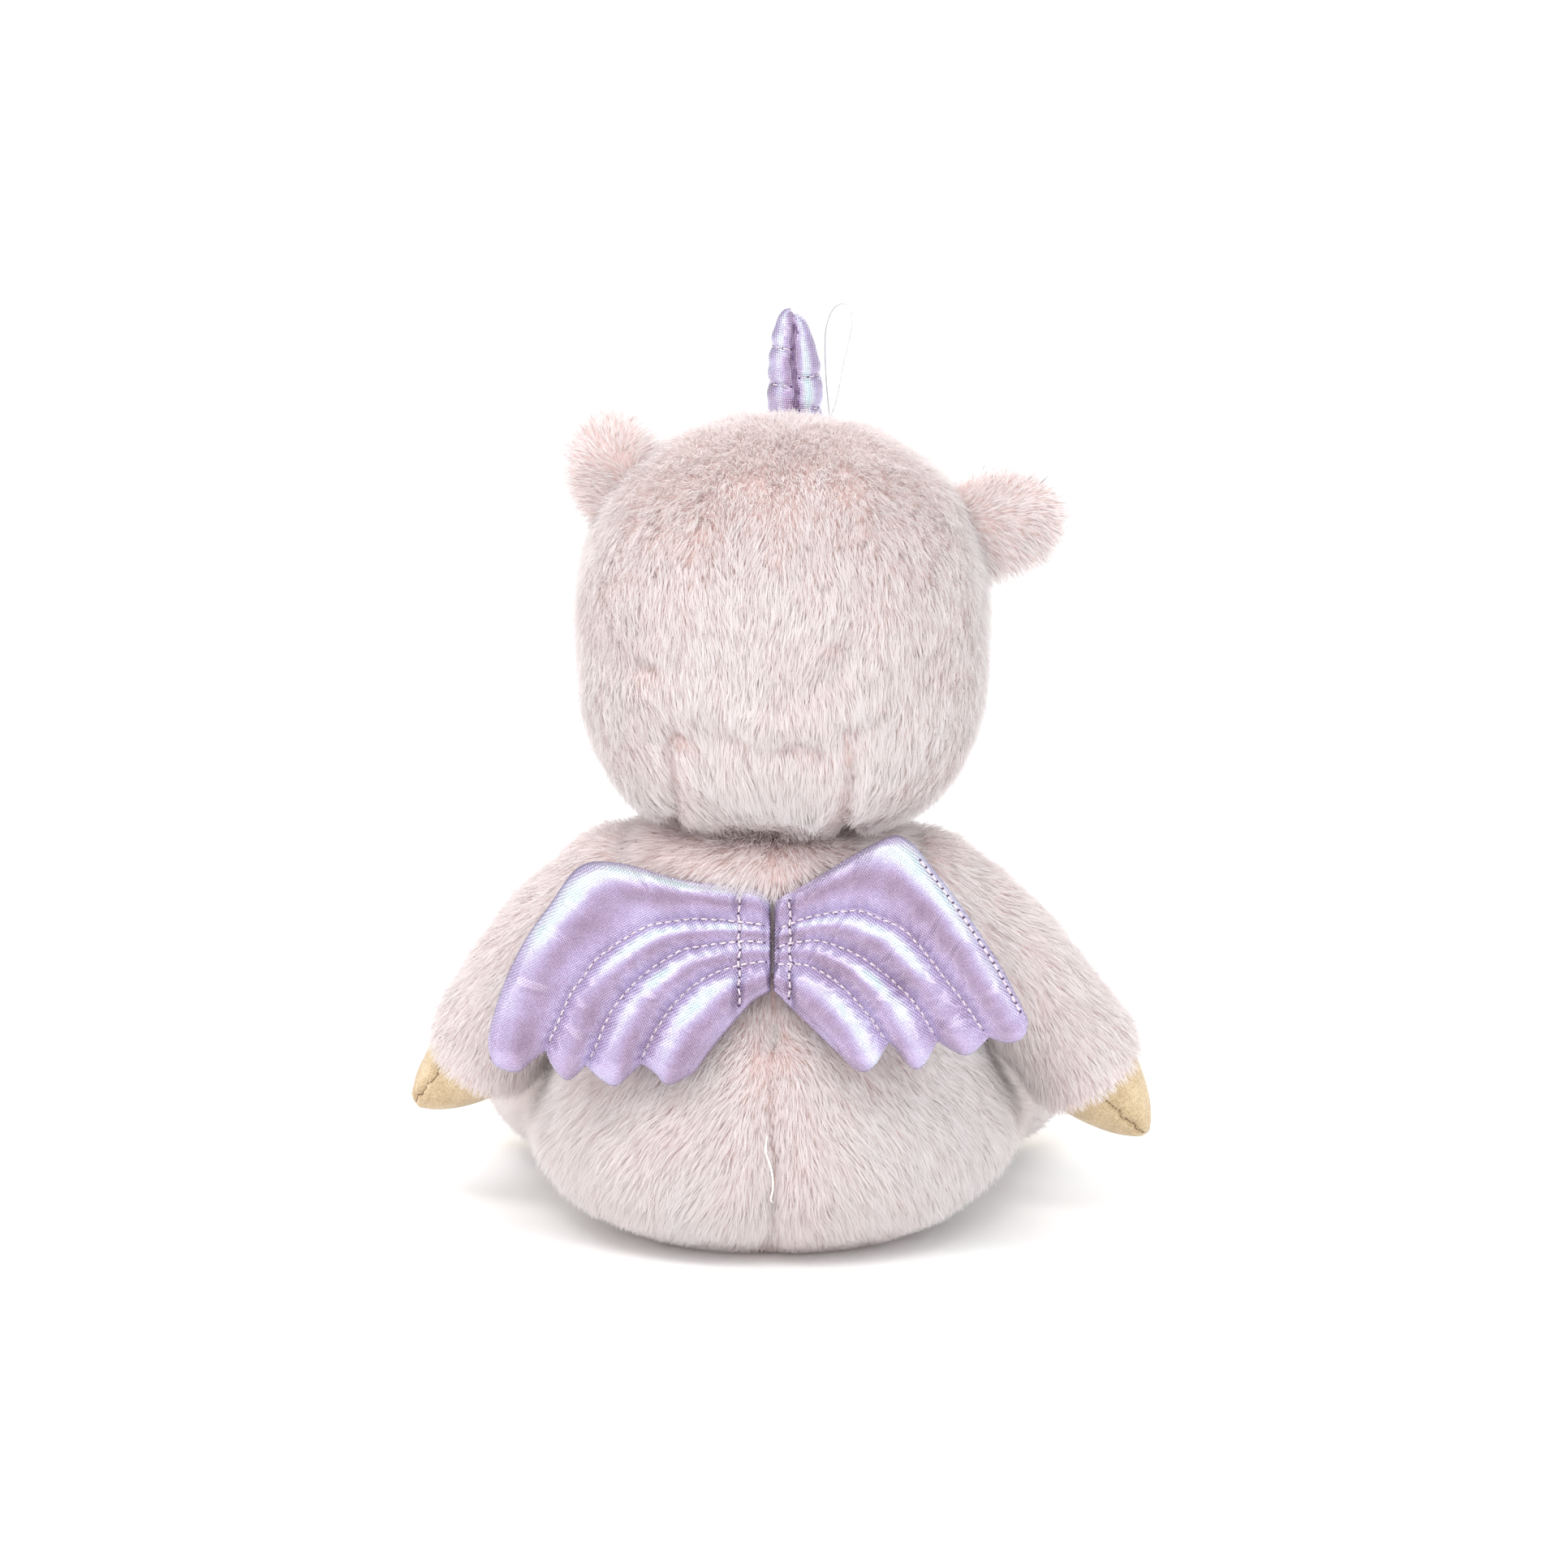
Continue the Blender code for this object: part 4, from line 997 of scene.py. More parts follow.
def capsule(start, end, radius, lift, bow=0.25):
    """Verts and faces of one short stitch that dives in at both ends."""
    verts, faces = [], []
    count, sides = 6, 6
    axis = end - start
    for i in range(count):
        t = i / (count - 1)
        centre = start + axis * t + lift * radius * (4 * t * (1 - t) * (1 + bow) - bow)
        r = radius * (0.35 if i in (0, count - 1) else 1.0)
        side = np.cross(axis, lift)
        side = side / np.linalg.norm(side)
        for k in range(sides):
            a = math.tau * k / sides
            verts.append(centre + r * (math.cos(a) * side + math.sin(a) * lift))
    for i in range(count - 1):
        for k in range(sides):
            n = (k + 1) % sides
            faces.append((i * sides + k, i * sides + n, (i + 1) * sides + n, (i + 1) * sides + k))
    faces.append(tuple(range(sides))[::-1])
    faces.append(tuple((count - 1) * sides + k for k in range(sides)))
    return verts, faces


def stitch_row(name, line, lifts, body, pitch, length, radius, material):
    """A row of separate stitches along a line on a surface."""
    line = np.array(line)
    run = run_along(line)
    verts, faces = [], []
    for i in range(max(1, int(run[-1] / pitch))):
        s0 = (i + 0.5) * run[-1] / max(1, int(run[-1] / pitch)) - length / 2
        ends = [np.array([np.interp(s, run, line[:, k]) for k in range(3)]) for s in (s0, s0 + length)]
        lift = unit(np.array([np.interp(s0 + length / 2, run, np.array(lifts)[:, k]) for k in range(3)]))
        v, f = capsule(ends[0], ends[1], radius, lift)
        faces += [tuple(j + len(verts) for j in face) for face in f]
        verts += v
    row = mesh_object(name, verts, faces, material)
    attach(row, body)
    return outward(row)


def drape(obj, points, toward):
    """Drop points onto a mesh along a direction; gives the places hit and their normals."""
    verts, _, tris = read_mesh(obj)
    tree = BVHTree.FromPolygons([tuple(v) for v in verts], [tuple(int(i) for i in t) for t in tris])
    toward = Vector(toward).normalized()
    places, normals = [], []
    for point in points:
        place, normal, _, _ = tree.ray_cast(Vector(point) - toward * 0.12, toward)
        if place is not None:
            places.append(tuple(place))
            normals.append(tuple(normal))
    return np.array(places), np.array(normals)


def needle_holes(name, places, lifts, radius, body):
    """Small dimples where the stitches enter, coloured near-black as painted shade in the holes."""
    verts, faces = [], []
    sides = 8
    for place, lift in zip(places, lifts):
        side = unit(np.cross(lift, (0.3, 0.2, 0.9)))
        other = np.cross(lift, side)
        base = len(verts)
        for level in (-0.00035, 0.00008):
            for k in range(sides):
                a = math.tau * k / sides
                way = math.cos(a) * side + math.sin(a) * other
                verts.append(place + lift * level + radius * way)
        verts.append(place + lift * 0.00012)
        for k in range(sides):
            n = (k + 1) % sides
            faces.append((base + k, base + n, base + sides + n, base + sides + k))
            faces.append((base + sides + k, base + sides + n, base + 2 * sides))
        faces.append(tuple(base + k for k in range(sides))[::-1])
    marks = mesh_object(name, verts, faces, NEEDLE_HOLE_SHADE)
    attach(marks, body)
    outward(marks)


PLIES = 2
PLY_SIDES = 8
TWIST_PITCH = 0.0024              # length of one full turn of the plies


def twisted_thread(name, points, radius, body, material):
    """Thread of twisted plies along a route."""
    line = smooth_through(points, 160)
    run = np.linalg.norm(np.diff(line, axis=0), axis=1).sum()
    turn = math.tau * run / TWIST_PITCH
    pieces_v, pieces_f = [], []
    for ply in range(PLIES):
        ahead = unit(np.gradient(line, axis=0))
        side = unit(np.cross(ahead, (0.0, 1.0, 0.05)))
        up = np.cross(side, ahead)
        angle = np.linspace(0, turn, len(line)) + math.tau * ply / PLIES
        centre = line + radius * 0.48 * (np.cos(angle)[:, None] * side + np.sin(angle)[:, None] * up)
        ends = np.ones(len(line))
        ends[[0, -1]] = 0.3
        rings = tube_grid(list(centre), radius * 0.56 * ends, PLY_SIDES)
        shift = sum(len(v) for v in pieces_v)
        faces = grid_faces(len(line), PLY_SIDES, True)
        faces.append(tuple(range(PLY_SIDES))[::-1])
        faces.append(tuple((len(line) - 1) * PLY_SIDES + k for k in range(PLY_SIDES)))
        pieces_f += [tuple(i + shift for i in face) for face in faces]
        pieces_v.append(rings)
    obj = mesh_object(name, np.concatenate(pieces_v), pieces_f, material)
    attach(obj, body)
    return outward(obj)


# ---- horn -------------------------------------------------------------------------------

HORN_LEAN = math.radians(4)
# Height over the foot and radius of the horn
HORN_LINE = [(-0.0066, 0.0045), (-0.0040, 0.0068), (0.0, 0.0077), (0.0080, 0.0080), (0.0160, 0.0079),
             (0.0240, 0.0073), (0.0300, 0.0065), (0.0350, 0.0051), (0.0382, 0.0036), (0.0398, 0.0018),
             (0.0402, 0.0)]
# Side and height of the stitched rows across the horn
HORN_ROWS = [(1, 0.0290), (1, 0.0180), (-1, 0.0205), (-1, 0.0110)]


def zigzag(height):
    """How far the horn's seam strays from the middle at a height."""
    return 0.0005 * np.sin(math.tau * height / 0.021) + 0.0002 * np.sin(math.tau * height / 0.0060)


def horn():
    foot = joint_at("horn_tilt")
    place = np.array(Matrix.Translation(Vector(foot)) @ Matrix.Rotation(HORN_LEAN, 4, "X"))
    line = smooth_through(HORN_LINE, 110)
    around = 110
    turns = ring_turns(around)
    height = np.repeat(line[:, 0], around)
    radius = np.maximum(np.repeat(line[:, 1], around), 0.00001)
    cos, sin = np.tile(np.cos(turns), len(line)), np.tile(np.sin(turns), len(line))
    x, y = radius * cos, radius * sin
    back = np.clip(sin * 1.6, 0, 1)
    seam = x - zigzag(height)
    body = np.clip((0.0395 - height) / 0.004, 0, 1)
    push = back * body * (-0.0011 * groove(seam, 0.0006) + 0.0004 * groove(np.abs(seam) - 0.0026, 0.0017))
    for side, level in HORN_ROWS:
        across = np.clip(side * x / 0.0020, 0, 1) * np.clip(sin * 2.0 + 0.6, 0, 1)
        tilt = level + 0.10 * np.abs(x)
        push -= 0.0008 * groove(height - tilt, 0.0009) * across
        push += 0.0005 * groove(np.abs(height - tilt) - 0.0032, 0.0018) * across
    local = np.stack([x, y, height], axis=1)
    puckers = np.sin(math.tau * height / 0.0030 + 2.2 * np.sign(seam)) * groove(seam, 0.0030) * back
    push += 0.00009 * puckers * body + 0.0004 * value_noise(local, 0.009, 61)
    push += 0.00010 * value_noise(local, 0.0028, 62)
    local[:, 0] += cos * push + 0.0011 * np.clip(height / 0.040, 0, 1) ** 3
    local[:, 1] += sin * push
    local[:, 2] += 0.0008 * np.clip((height - 0.030) / 0.010, 0, 1) * cos
    verts = local @ place[:3, :3].T + place[:3, 3]
    skin = mesh_object("horn_foil", verts, grid_faces(len(line), around, True), FOIL_HORN)
    # Painted highlight bands on two sides of the horn and painted shade along the seam groove
    glow = groove(cos + 0.45, 0.22) + 0.7 * groove(cos - 0.55, 0.18)
    set_painted_crest_light(skin, 0.42 + 0.45 * glow - 0.2 * groove(seam, 0.0015) + 0.1 * value_noise(local, 0.004, 63))
    close_holes(skin)
    outward(skin)
    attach(skin, "horn")
    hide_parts("horn_cover")
    toward = place[:3, :3] @ np.array([0.0, -1.0, 0.0])

    def on_horn(points):
        return drape(skin, np.array(points) @ place[:3, :3].T + place[:3, 3], toward)

    heights = np.linspace(0.0020, 0.0375, 9)
    for i, (low, high) in enumerate(zip(heights[:-1], heights[1:])):
        lean = 0.0008 if i % 2 else -0.0008
        ends, normals = on_horn([(zigzag(low) - lean, 0.0, low + 0.0003),
                                 (zigzag(high) + lean, 0.0, high - 0.0006)])
        if len(ends) == 2:
            stitch_row(f"horn_seam_stitch_{i}", ends, normals, "horn", 1.0,
                       np.linalg.norm(ends[1] - ends[0]) * 0.9, 0.00022, DARK_THREAD)
    for i, (side, level) in enumerate(HORN_ROWS):
        row = [(side * a, 0.0, level + 0.10 * a) for a in np.linspace(0.0012, 0.0068, 12)]
        places, normals = on_horn(row)
        stitch_row(f"horn_row_{i}", places + normals * 0.00015, normals, "horn",
                   0.0029, 0.0021, 0.00026, THREAD)
        needle_holes(f"horn_row_holes_{i}", places[[0, 5, -1]], normals[[0, 5, -1]], 0.00035, "horn")


def close_holes(obj):
    bm = bmesh.new()
    bm.from_mesh(obj.data)
    bmesh.ops.remove_doubles(bm, verts=bm.verts, dist=0.00003)
    bmesh.ops.holes_fill(bm, edges=[e for e in bm.edges if e.is_boundary])
    bm.to_mesh(obj.data)
    bm.free()


# ---- wings ------------------------------------------------------------------------------

MM = 0.001
WING_LEAN = math.radians(20)
WING_TURN = {"left": 0.0, "right": math.radians(18)}
# Stitch lines between the feathers, from the hinge out, top first, in millimetres
RIBS = {
    "left": [
        [(0.5, 13.0), (4.5, 16.5), (10, 17.5), (26, 19), (44.5, 24), (56, 23), (64.5, 12), (72, 1),
         (78, -12), (82, -26), (81.5, -33)],
        [(0.5, 5.3), (9, 6.6), (20, 7.5), (29, 6.8), (38, 4.4), (50, -3.6), (55, -10), (58, -14),
         (63, -25), (65.5, -30.7)],
        [(0.5, 0.6), (9, 0.9), (20, -0.4), (27.6, -2.3), (39, -10.4), (46.6, -19.6), (51.4, -30.7),
         (53.8, -35)],
        [(0.5, -5.0), (8.6, -5.8), (19.7, -9.9), (29.3, -18.4), (36.7, -30.7), (37.7, -34.6)],
        [(0.4, -13.3), (6.2, -17.1), (13.4, -25.2), (17.8, -30.7), (22.6, -37.3)],
    ],
    "right": [
        [(0.6, 12.6), (4.6, 15.4), (12, 19.2), (24.2, 26.7), (35.3, 32), (40.8, 30.6), (46.3, 24.3),
         (57.8, 9.2), (67.7, -6), (74.4, -19), (74.9, -22.3)],
        [(0.5, 4.2), (5.3, 6.0), (13.2, 8.7), (25.4, 10.2), (31.7, 8), (39.6, 4.4), (49.4, -6.8),
         (57.4, -16.7), (63.8, -25.9)],
        [(0.5, -1.4), (5.0, 0.4), (10.8, 1.3), (16.3, 1), (27.8, -3.8), (39.6, -13.5), (46.3, -22.3),
         (48.7, -27.1)],
        [(0.5, -5.6), (10.8, -6), (20.6, -11.1), (29, -20.3), (34.3, -27.8)],
        [(0.4, -13.3), (2.9, -15.7), (7.7, -20.3), (14.4, -26.4), (20.6, -32)],
    ],
}
# The rounded tip between each two stitch lines, in millimetres
LOBES = {
    "left": [[(80, -35.3), (73.7, -37.3), (71, -35.3)], [(64, -34.6), (59.8, -39.5), (57.6, -38.7)],
             [(50, -38.7), (45.8, -41.4), (44, -40.6), (40.3, -37)],
             [(33.6, -37.5), (31.4, -40.4), (28.8, -40.6)]],
    "right": [[(74.0, -25.4), (69.6, -27.6)], [(57.8, -31.2), (52.3, -29.5)],
              [(43.9, -35.1), (40.8, -35.1), (36.5, -29.5)],
              [(29.8, -35.1), (26.2, -36.6), (23.8, -35.3)]],
}
ROOT_SEAM = {"left": 7.4, "right": 3.6}      # millimetres from the hinge
# Share of each feather's length at which its painted highlight lies
PAINTED_CREST_LIGHT_AT = {"left": (0.45, 0.30, 0.35, 0.55), "right": (0.60, 0.35, 0.50, 0.70)}
PLUMP = 0.0030                    # how far a feather puffs up from the wing's middle plane
ALONG = 150                       # mesh rows along a feather and columns across it
ACROSS = 22
FEATHERS = 4
QUILT_PITCH = 0.0026              # length of thread to one quilting stitch


def wing_flat(side):
    """The wing's flat pattern in its own plane: rib lines and lobed tips, in metres."""
    turn = WING_TURN[side]
    shift = abs(joint_at(f"wing_{side}_flap")[0]) / MM

    def plane(points):
        pts = np.array(points, float)
        out = (pts[:, 0] * (1 - 0.08 * math.tan(turn)) - shift) / math.cos(turn)
        up = pts[:, 1] - 0.14 * math.tan(turn) * pts[:, 0]
        return np.stack([out, up], axis=1) * MM

    ribs = [smooth_through(plane(rib), ALONG) for rib in RIBS[side]]
    tips = []
    for i, lobe in enumerate(LOBES[side]):
        ring = np.vstack([ribs[i][-1:], plane(lobe), ribs[i + 1][-1:]])
        tip = smooth_through(ring, ACROSS)
        for _ in range(4):
            tip[1:-1] = 0.25 * tip[:-2] + 0.5 * tip[1:-1] + 0.25 * tip[2:]
        tips.append(tip)
    return ribs, tips


def wing(side):
    """Quilted wing: two foil faces puffed over wadding, stitched down along the feathers."""
    sign = 1 if side == "left" else -1
    hinge = joint_at(f"wing_{side}_flap")
    turn = Matrix.Rotation(WING_LEAN, 4, "X") @ Matrix.Rotation(sign * WING_TURN[side], 4, "Z")
    turn = np.array(turn)[:3, :3]
    ribs, tips = wing_flat(side)
    u = np.linspace(0, 1, ALONG)
    v = np.linspace(0, 1, ACROSS)
    reach = np.clip((u - 0.74) / 0.26, 0, 1) ** 2
    body = f"wing_{side}"
    faces_of = grid_faces(ALONG, ACROSS, False)
    verts, faces, painted_crest_lights = [], [], []
    for i in range(FEATHERS):
        low, high = ribs[i], ribs[i + 1]
        flat = low[:, None] * (1 - v)[None, :, None] + high[:, None] * v[None, :, None]
        flat = flat + (tips[i] - flat[-1])[None] * reach[:, None, None]
        width = np.linalg.norm(high - low, axis=1)[:, None]
        d0, d1 = v[None] * width, (1 - v)[None] * width
        run = run_along(low)[:, None]
        arch = (4 * v * (1 - v))[None] ** 0.55
        height = PLUMP * arch * np.clip(width / 0.011, 0.45, 1.15)
        held = np.full(flat.shape[:2], 0.00065)
        if i == 0:
            held *= np.clip(v / 0.12, 0, 1)[None] ** 0.5
        if i == FEATHERS - 1:
            held *= np.clip((1 - v) / 0.12, 0, 1)[None] ** 0.5
        grain = np.stack([run / 0.0036 + 0 * d0, v[None] * 1.4 + 0 * run, np.full(d0.shape, i * 5.0)],
                         axis=2)
        wrinkle = value_noise(grain.reshape(-1, 3), 1.0, 71 + i).reshape(d0.shape)
        broad = value_noise(np.stack([flat[..., 0], flat[..., 1], flat[..., 0] * 0], 2).reshape(-1, 3),
                            0.010, 81 + i).reshape(d0.shape)
        height = height * (1 + 0.20 * wrinkle + 0.22 * broad)
        uneven = 5 * value_noise(grain[:, 0], 3.0, 77 + i)[:, None]
        pull = 0.5 + 0.5 * np.cos(math.tau * run / 0.0047 + uneven)
        for gap, quilted in ((d0, i > 0), (d1, i < FEATHERS - 1)):
            if quilted:
                height -= 0.00070 * groove(gap - 0.0011, 0.0017) * pull
            else:
                height -= 0.0007 * groove(gap - 0.0016, 0.0007)
        line = flat[..., 0] - ROOT_SEAM[side] * MM
        rows = 0.5 + 0.5 * np.cos(math.tau * flat[..., 1] / 0.0042)
        height *= 1 - 0.72 * groove(line, 0.0016) - 0.15 * groove(line, 0.004) * rows
        height = np.maximum(height, 0) + held
        to_tip, to_root = np.clip((1 - u) / 0.060, 0, 1), np.clip(u / 0.035, 0, 1)
        height *= to_tip[:, None] ** 0.5 * to_root[:, None] ** 0.5
        # Painted light on each feather: glow is a painted highlight band on the upper slope, shade is
        # painted shade on the lower slope
        peak = 0.20 if i == 0 else 0.30
        lit = groove(u - PAINTED_CREST_LIGHT_AT[side][i], 0.42)[:, None]
        glow = groove(v - peak, 0.165)[None] * (0.7 + 0.5 * broad) * lit
        shade = groove(v - peak - 0.36, 0.17)[None] * (0.8 + 0.4 * wrinkle)
        painted_crest_light = 0.38 + 0.68 * glow - 0.24 * shade
        for face_sign, share in ((1, 1.0), (-1, 0.85)):
            painted_crest_lights.append(painted_crest_light.reshape(-1))
            local = np.stack([sign * flat[..., 0], face_sign * share * height, flat[..., 1]], axis=2)
            base = sum(len(part) for part in verts)
            verts.append(local.reshape(-1, 3))
            faces += [tuple(k + base for k in face) for face in faces_of]
    verts = np.concatenate(verts)
    free = np.clip(np.abs(verts[:, 0]) / 0.02, 0, 1)
    verts[:, 1] += 0.0010 * value_noise(verts * (1, 0, 1), 0.024, 91) * free
    world = verts @ turn.T + hinge
    skin = mesh_object(f"wing_{side}_foil", world, faces, FOILS[side])
    set_painted_crest_light(skin, np.concatenate(painted_crest_lights))
    outward(skin)
    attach(skin, body)
    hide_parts(f"wing_{side}_outer", f"wing_{side}_wadding", f"wing_{side}_inner")
    toward = turn @ np.array([0.0, -1.0, 0.0])
    for face, way in (("back", toward), ("front", -toward)):
        for i in range(1, FEATHERS):
            quilt_row(skin, f"wing_{side}_{face}_row_{i}", sign, ribs[i][4:-5], turn, hinge, way, body)
        seam = ROOT_SEAM[side] * MM
        top = ribs[0][np.argmin(np.abs(ribs[0][:, 0] - seam))][1] - 0.0030
        low = ribs[-1][np.argmin(np.abs(ribs[-1][:, 0] - seam))][1] + 0.0030
        column = np.array([(seam + 0.0004 * math.sin(t * 900), t) for t in np.linspace(low, top, 60)])
        quilt_row(skin, f"wing_{side}_{face}_column", sign, column, turn, hinge, way, body)
    if side == "right":
        edge = ribs[0][70:-6] * 0.93 + ribs[1][70:-6] * 0.07
        quilt_row(skin, "wing_right_edge_row", sign, edge, turn, hinge, toward, body)
    return skin


def quilt_row(skin, name, sign, pts, turn, hinge, way, body):
    """A row of quilting stitches with their needle holes, laid on one face of a wing. The row is
    given in the wing's own plane; turn and hinge place that plane, way points into the face."""
    line = np.stack([sign * pts[:, 0], np.zeros(len(pts)), pts[:, 1]], axis=1) @ turn.T + hinge
    places, normals = drape(skin, line, way)
    normals = unit(0.4 * normals - np.array(way))
    stitch_row(name, places + normals * 0.00022, normals, body, QUILT_PITCH, 0.0022, 0.00036, THREAD)
    run = run_along(places)
    count = max(1, int(run[-1] / QUILT_PITCH))
    at = [i * run[-1] / count for i in range(count + 1)]
    spots = np.stack([np.interp(at, run, places[:, k]) for k in range(3)], axis=1)
    lifts = unit(np.stack([np.interp(at, run, normals[:, k]) for k in range(3)], axis=1))
    needle_holes(name + "_holes", spots, lifts, 0.00048, body)


# ---- ears -------------------------------------------------------------------------------

# Direction out of the head, direction across, length, width and shift from the hinge
EARS = {
    "left": ((0.26, 0.05, 0.965), (0.965, 0.0, -0.26), 0.0290, 0.0260, (0.0020, 0.0, -0.0045)),
    "right": ((-0.975, 0.05, 0.218), (0.218, 0.0, 0.976), 0.0300, 0.0300, (0.0, 0.0, 0.0010)),
}
EAR_THICK = 0.0085
EAR_ROWS, EAR_AROUND, LINING_AROUND = 26, 40, 34
EAR_CUT = 0.24                    # share of the ear's oval that is inside the seam to the head


def ear(side, seed):
    """Ear: fur behind and round the edge, suede lining in front, cupped a little."""
    aim, across, length, width, shift = EARS[side]
    root = joint_at(f"ear_{side}_fold") + np.array(shift)
    aim = unit(np.array(aim))
    across = np.array(across) - aim * np.dot(across, aim)
    across = unit(across)
    back = np.cross(aim, across)
    back = back * np.sign(back[1])
    axes = np.stack([aim, across, back])
    whole = length / (1 - EAR_CUT)

    def oval(grow, thick, centre_out, turns, polar):
        ring = []
        for p in polar:
            for t in turns:
                ring.append((math.cos(p), math.sin(p) * math.cos(t), math.sin(p) * math.sin(t)))
        ring = np.array(ring)
        local = ring * (whole / 2 - grow, width / 2 - grow, thick)
        local[:, 0] += length - whole / 2 + centre_out
        local[:, 2] += 0.0016 * (ring[:, 1] ** 2 - 0.5)
        return local

    turns = ring_turns(EAR_AROUND)
    polar = np.linspace(0, math.pi * 0.70, EAR_ROWS)
    local = oval(0.0002, EAR_THICK / 2 - 0.0012, 0.0, turns, polar)
    local += 0.0005 * value_noise(local, 0.009, seed)[:, None] * (0, 0, 1)
    skin = mesh_object(f"ear_{side}_backing", local @ axes + root,
                       grid_faces(EAR_ROWS, EAR_AROUND, True), BACKING)
    close_holes(skin)
    outward(skin)
    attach(skin, f"ear_{side}")
    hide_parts(f"ear_{side}_fur")

    dome = np.linspace(0, -math.pi, LINING_AROUND)
    front = oval(0.0016, EAR_THICK / 2 + 0.0006, -0.0004, dome, polar)
    rear = front * (1, 1, 0)
    rear[:, 2] = np.minimum(front[:, 2] + 0.0012, -0.0004)
    count = len(front)
    faces = grid_faces(EAR_ROWS, LINING_AROUND, False)
    faces += [tuple(count + k for k in face)[::-1] for face in faces]
    grid = np.arange(count).reshape(EAR_ROWS, LINING_AROUND).tolist()
    sides = ([row[0] for row in grid], False), ([row[-1] for row in grid], True), (grid[-1], False)
    for line, flip in sides:
        for a, b in zip(line[:-1], line[1:]):
            quad = (a, b, b + count, a + count)
            faces.append(quad[::-1] if flip else quad)
    both = np.concatenate([front, rear])
    both += 0.0003 * value_noise(both, 0.005, seed + 3)[:, None] * (0, 0, 1)
    lining = mesh_object(f"ear_{side}_suede", both @ axes + root, faces, SUEDE)
    outward(lining)
    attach(lining, f"ear_{side}")
    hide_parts(f"ear_{side}_lining")

    def flow(points, normal):
        rim_way = ((points - root) @ across)[:, None] * across
        return aim * 0.8 + rim_way / 0.010 + np.array([0.0, 0.0, -0.35])

    def strand(points, normal):
        return 0.0064 * (0.75 + 0.25 * np.clip(normal @ back, 0, 1))

    def stand(points, normal):
        return np.full(len(points), 0.34)

    def shade(points, normal, rng):
        pale = 0.62 + 0.20 * np.clip(((points - root) @ aim) / length, 0, 1)
        return pale + 0.16 * value_noise(points, 0.010, seed) + 0.10 * rng.normal(0, 1, len(points))

    def keep(points, normal):
        return normal @ back > -0.62

    pile(f"ear_{side}_pile", skin, f"ear_{side}", flow, strand, stand, shade, keep, seed, PILE)


# ---- face -------------------------------------------------------------------------------

MUZZLE_CENTRE = np.array((-0.003, -0.050, 0.166))
MUZZLE_RADII = np.array((0.0280, 0.0190, 0.0200)) + 0.0007


def muzzle():
    """Suede muzzle: a plump oval with a faint cleft and a gathered edge."""
    rows, around = 56, 96
    polar = np.linspace(0, math.pi * 0.62, rows)
    turns = ring_turns(around)
    ball = np.array([(math.sin(p) * math.cos(t), -math.cos(p), math.sin(p) * math.sin(t))
                     for p in polar for t in turns])
    verts = MUZZLE_CENTRE + ball * MUZZLE_RADII
    edge = np.clip((-ball[:, 1] - 0.05) / 0.3, 0, 1)
    push = 0.0005 * value_noise(verts, 0.013, 51)
    across = verts[:, 0] - MUZZLE_CENTRE[0]
    push -= 0.0010 * groove(across, 0.0020) * np.clip(0.2 - ball[:, 2], 0, 1) * edge
    angle = np.arctan2(ball[:, 2], ball[:, 0])
    push += 0.00035 * np.sin(angle * 31) * (1 - edge)
    verts = verts + ball * push[:, None]
    skin = mesh_object("muzzle_suede", verts, grid_faces(rows, around, True), SUEDE)
    close_holes(skin)
    outward(skin)
    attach(skin, "head")
    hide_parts("muzzle_cover")
    return skin


def satin_patch(name, skin, centre, width, height, rows, body, material):
    """Embroidered oval: close parallel threads laid over a surface."""
    verts, faces = [], []
    for i in range(rows):
        t = (i + 0.5) / rows * 2 - 1
        half = width / 2 * math.sqrt(max(0.02, 1 - t * t))
        line = [centre + Vector((x, 0.0, t * height / 2)) for x in np.linspace(-half, half, 6)]
        places, normals = drape(skin, line, (0.0, 1.0, 0.0))
        if len(places) < 2:
            continue
        v, f = capsule(places[0], places[-1], height / rows * 0.62, unit(normals.mean(axis=0)), bow=0.9)
        faces += [tuple(k + len(verts) for k in face) for face in f]
        verts += v
    patch = mesh_object(name, verts, faces, material)
    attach(patch, body)
    return outward(patch)


def face():
    skin = muzzle()
    for side in ("left", "right"):
        low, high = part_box("nostril_" + side)
        middle = (low + high) / 2
        patch = satin_patch("nostril_satin_" + side, skin, Vector((middle.x, middle.y, middle.z)),
                            0.0046, 0.0036, 9, "head", NOSE_THREAD)
        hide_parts("nostril_" + side)
        eye(side)
    low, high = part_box("mouth_stitch")
    mid_x = (low.x + high.x) / 2
    line = [(x, low.y, high.z - (high.z - low.z) * (1 - ((x - mid_x) / ((high.x - low.x) / 2)) ** 2))
            for x in np.linspace(low.x + 0.001, high.x - 0.001, 40)]
    places, normals = drape(skin, line, (0.0, 1.0, 0.0))
    row = stitch_row("mouth_line", places + normals * 0.0002, normals, "head", 0.0026, 0.0024, 0.0004,
                     NOSE_THREAD)
    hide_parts("mouth_stitch")


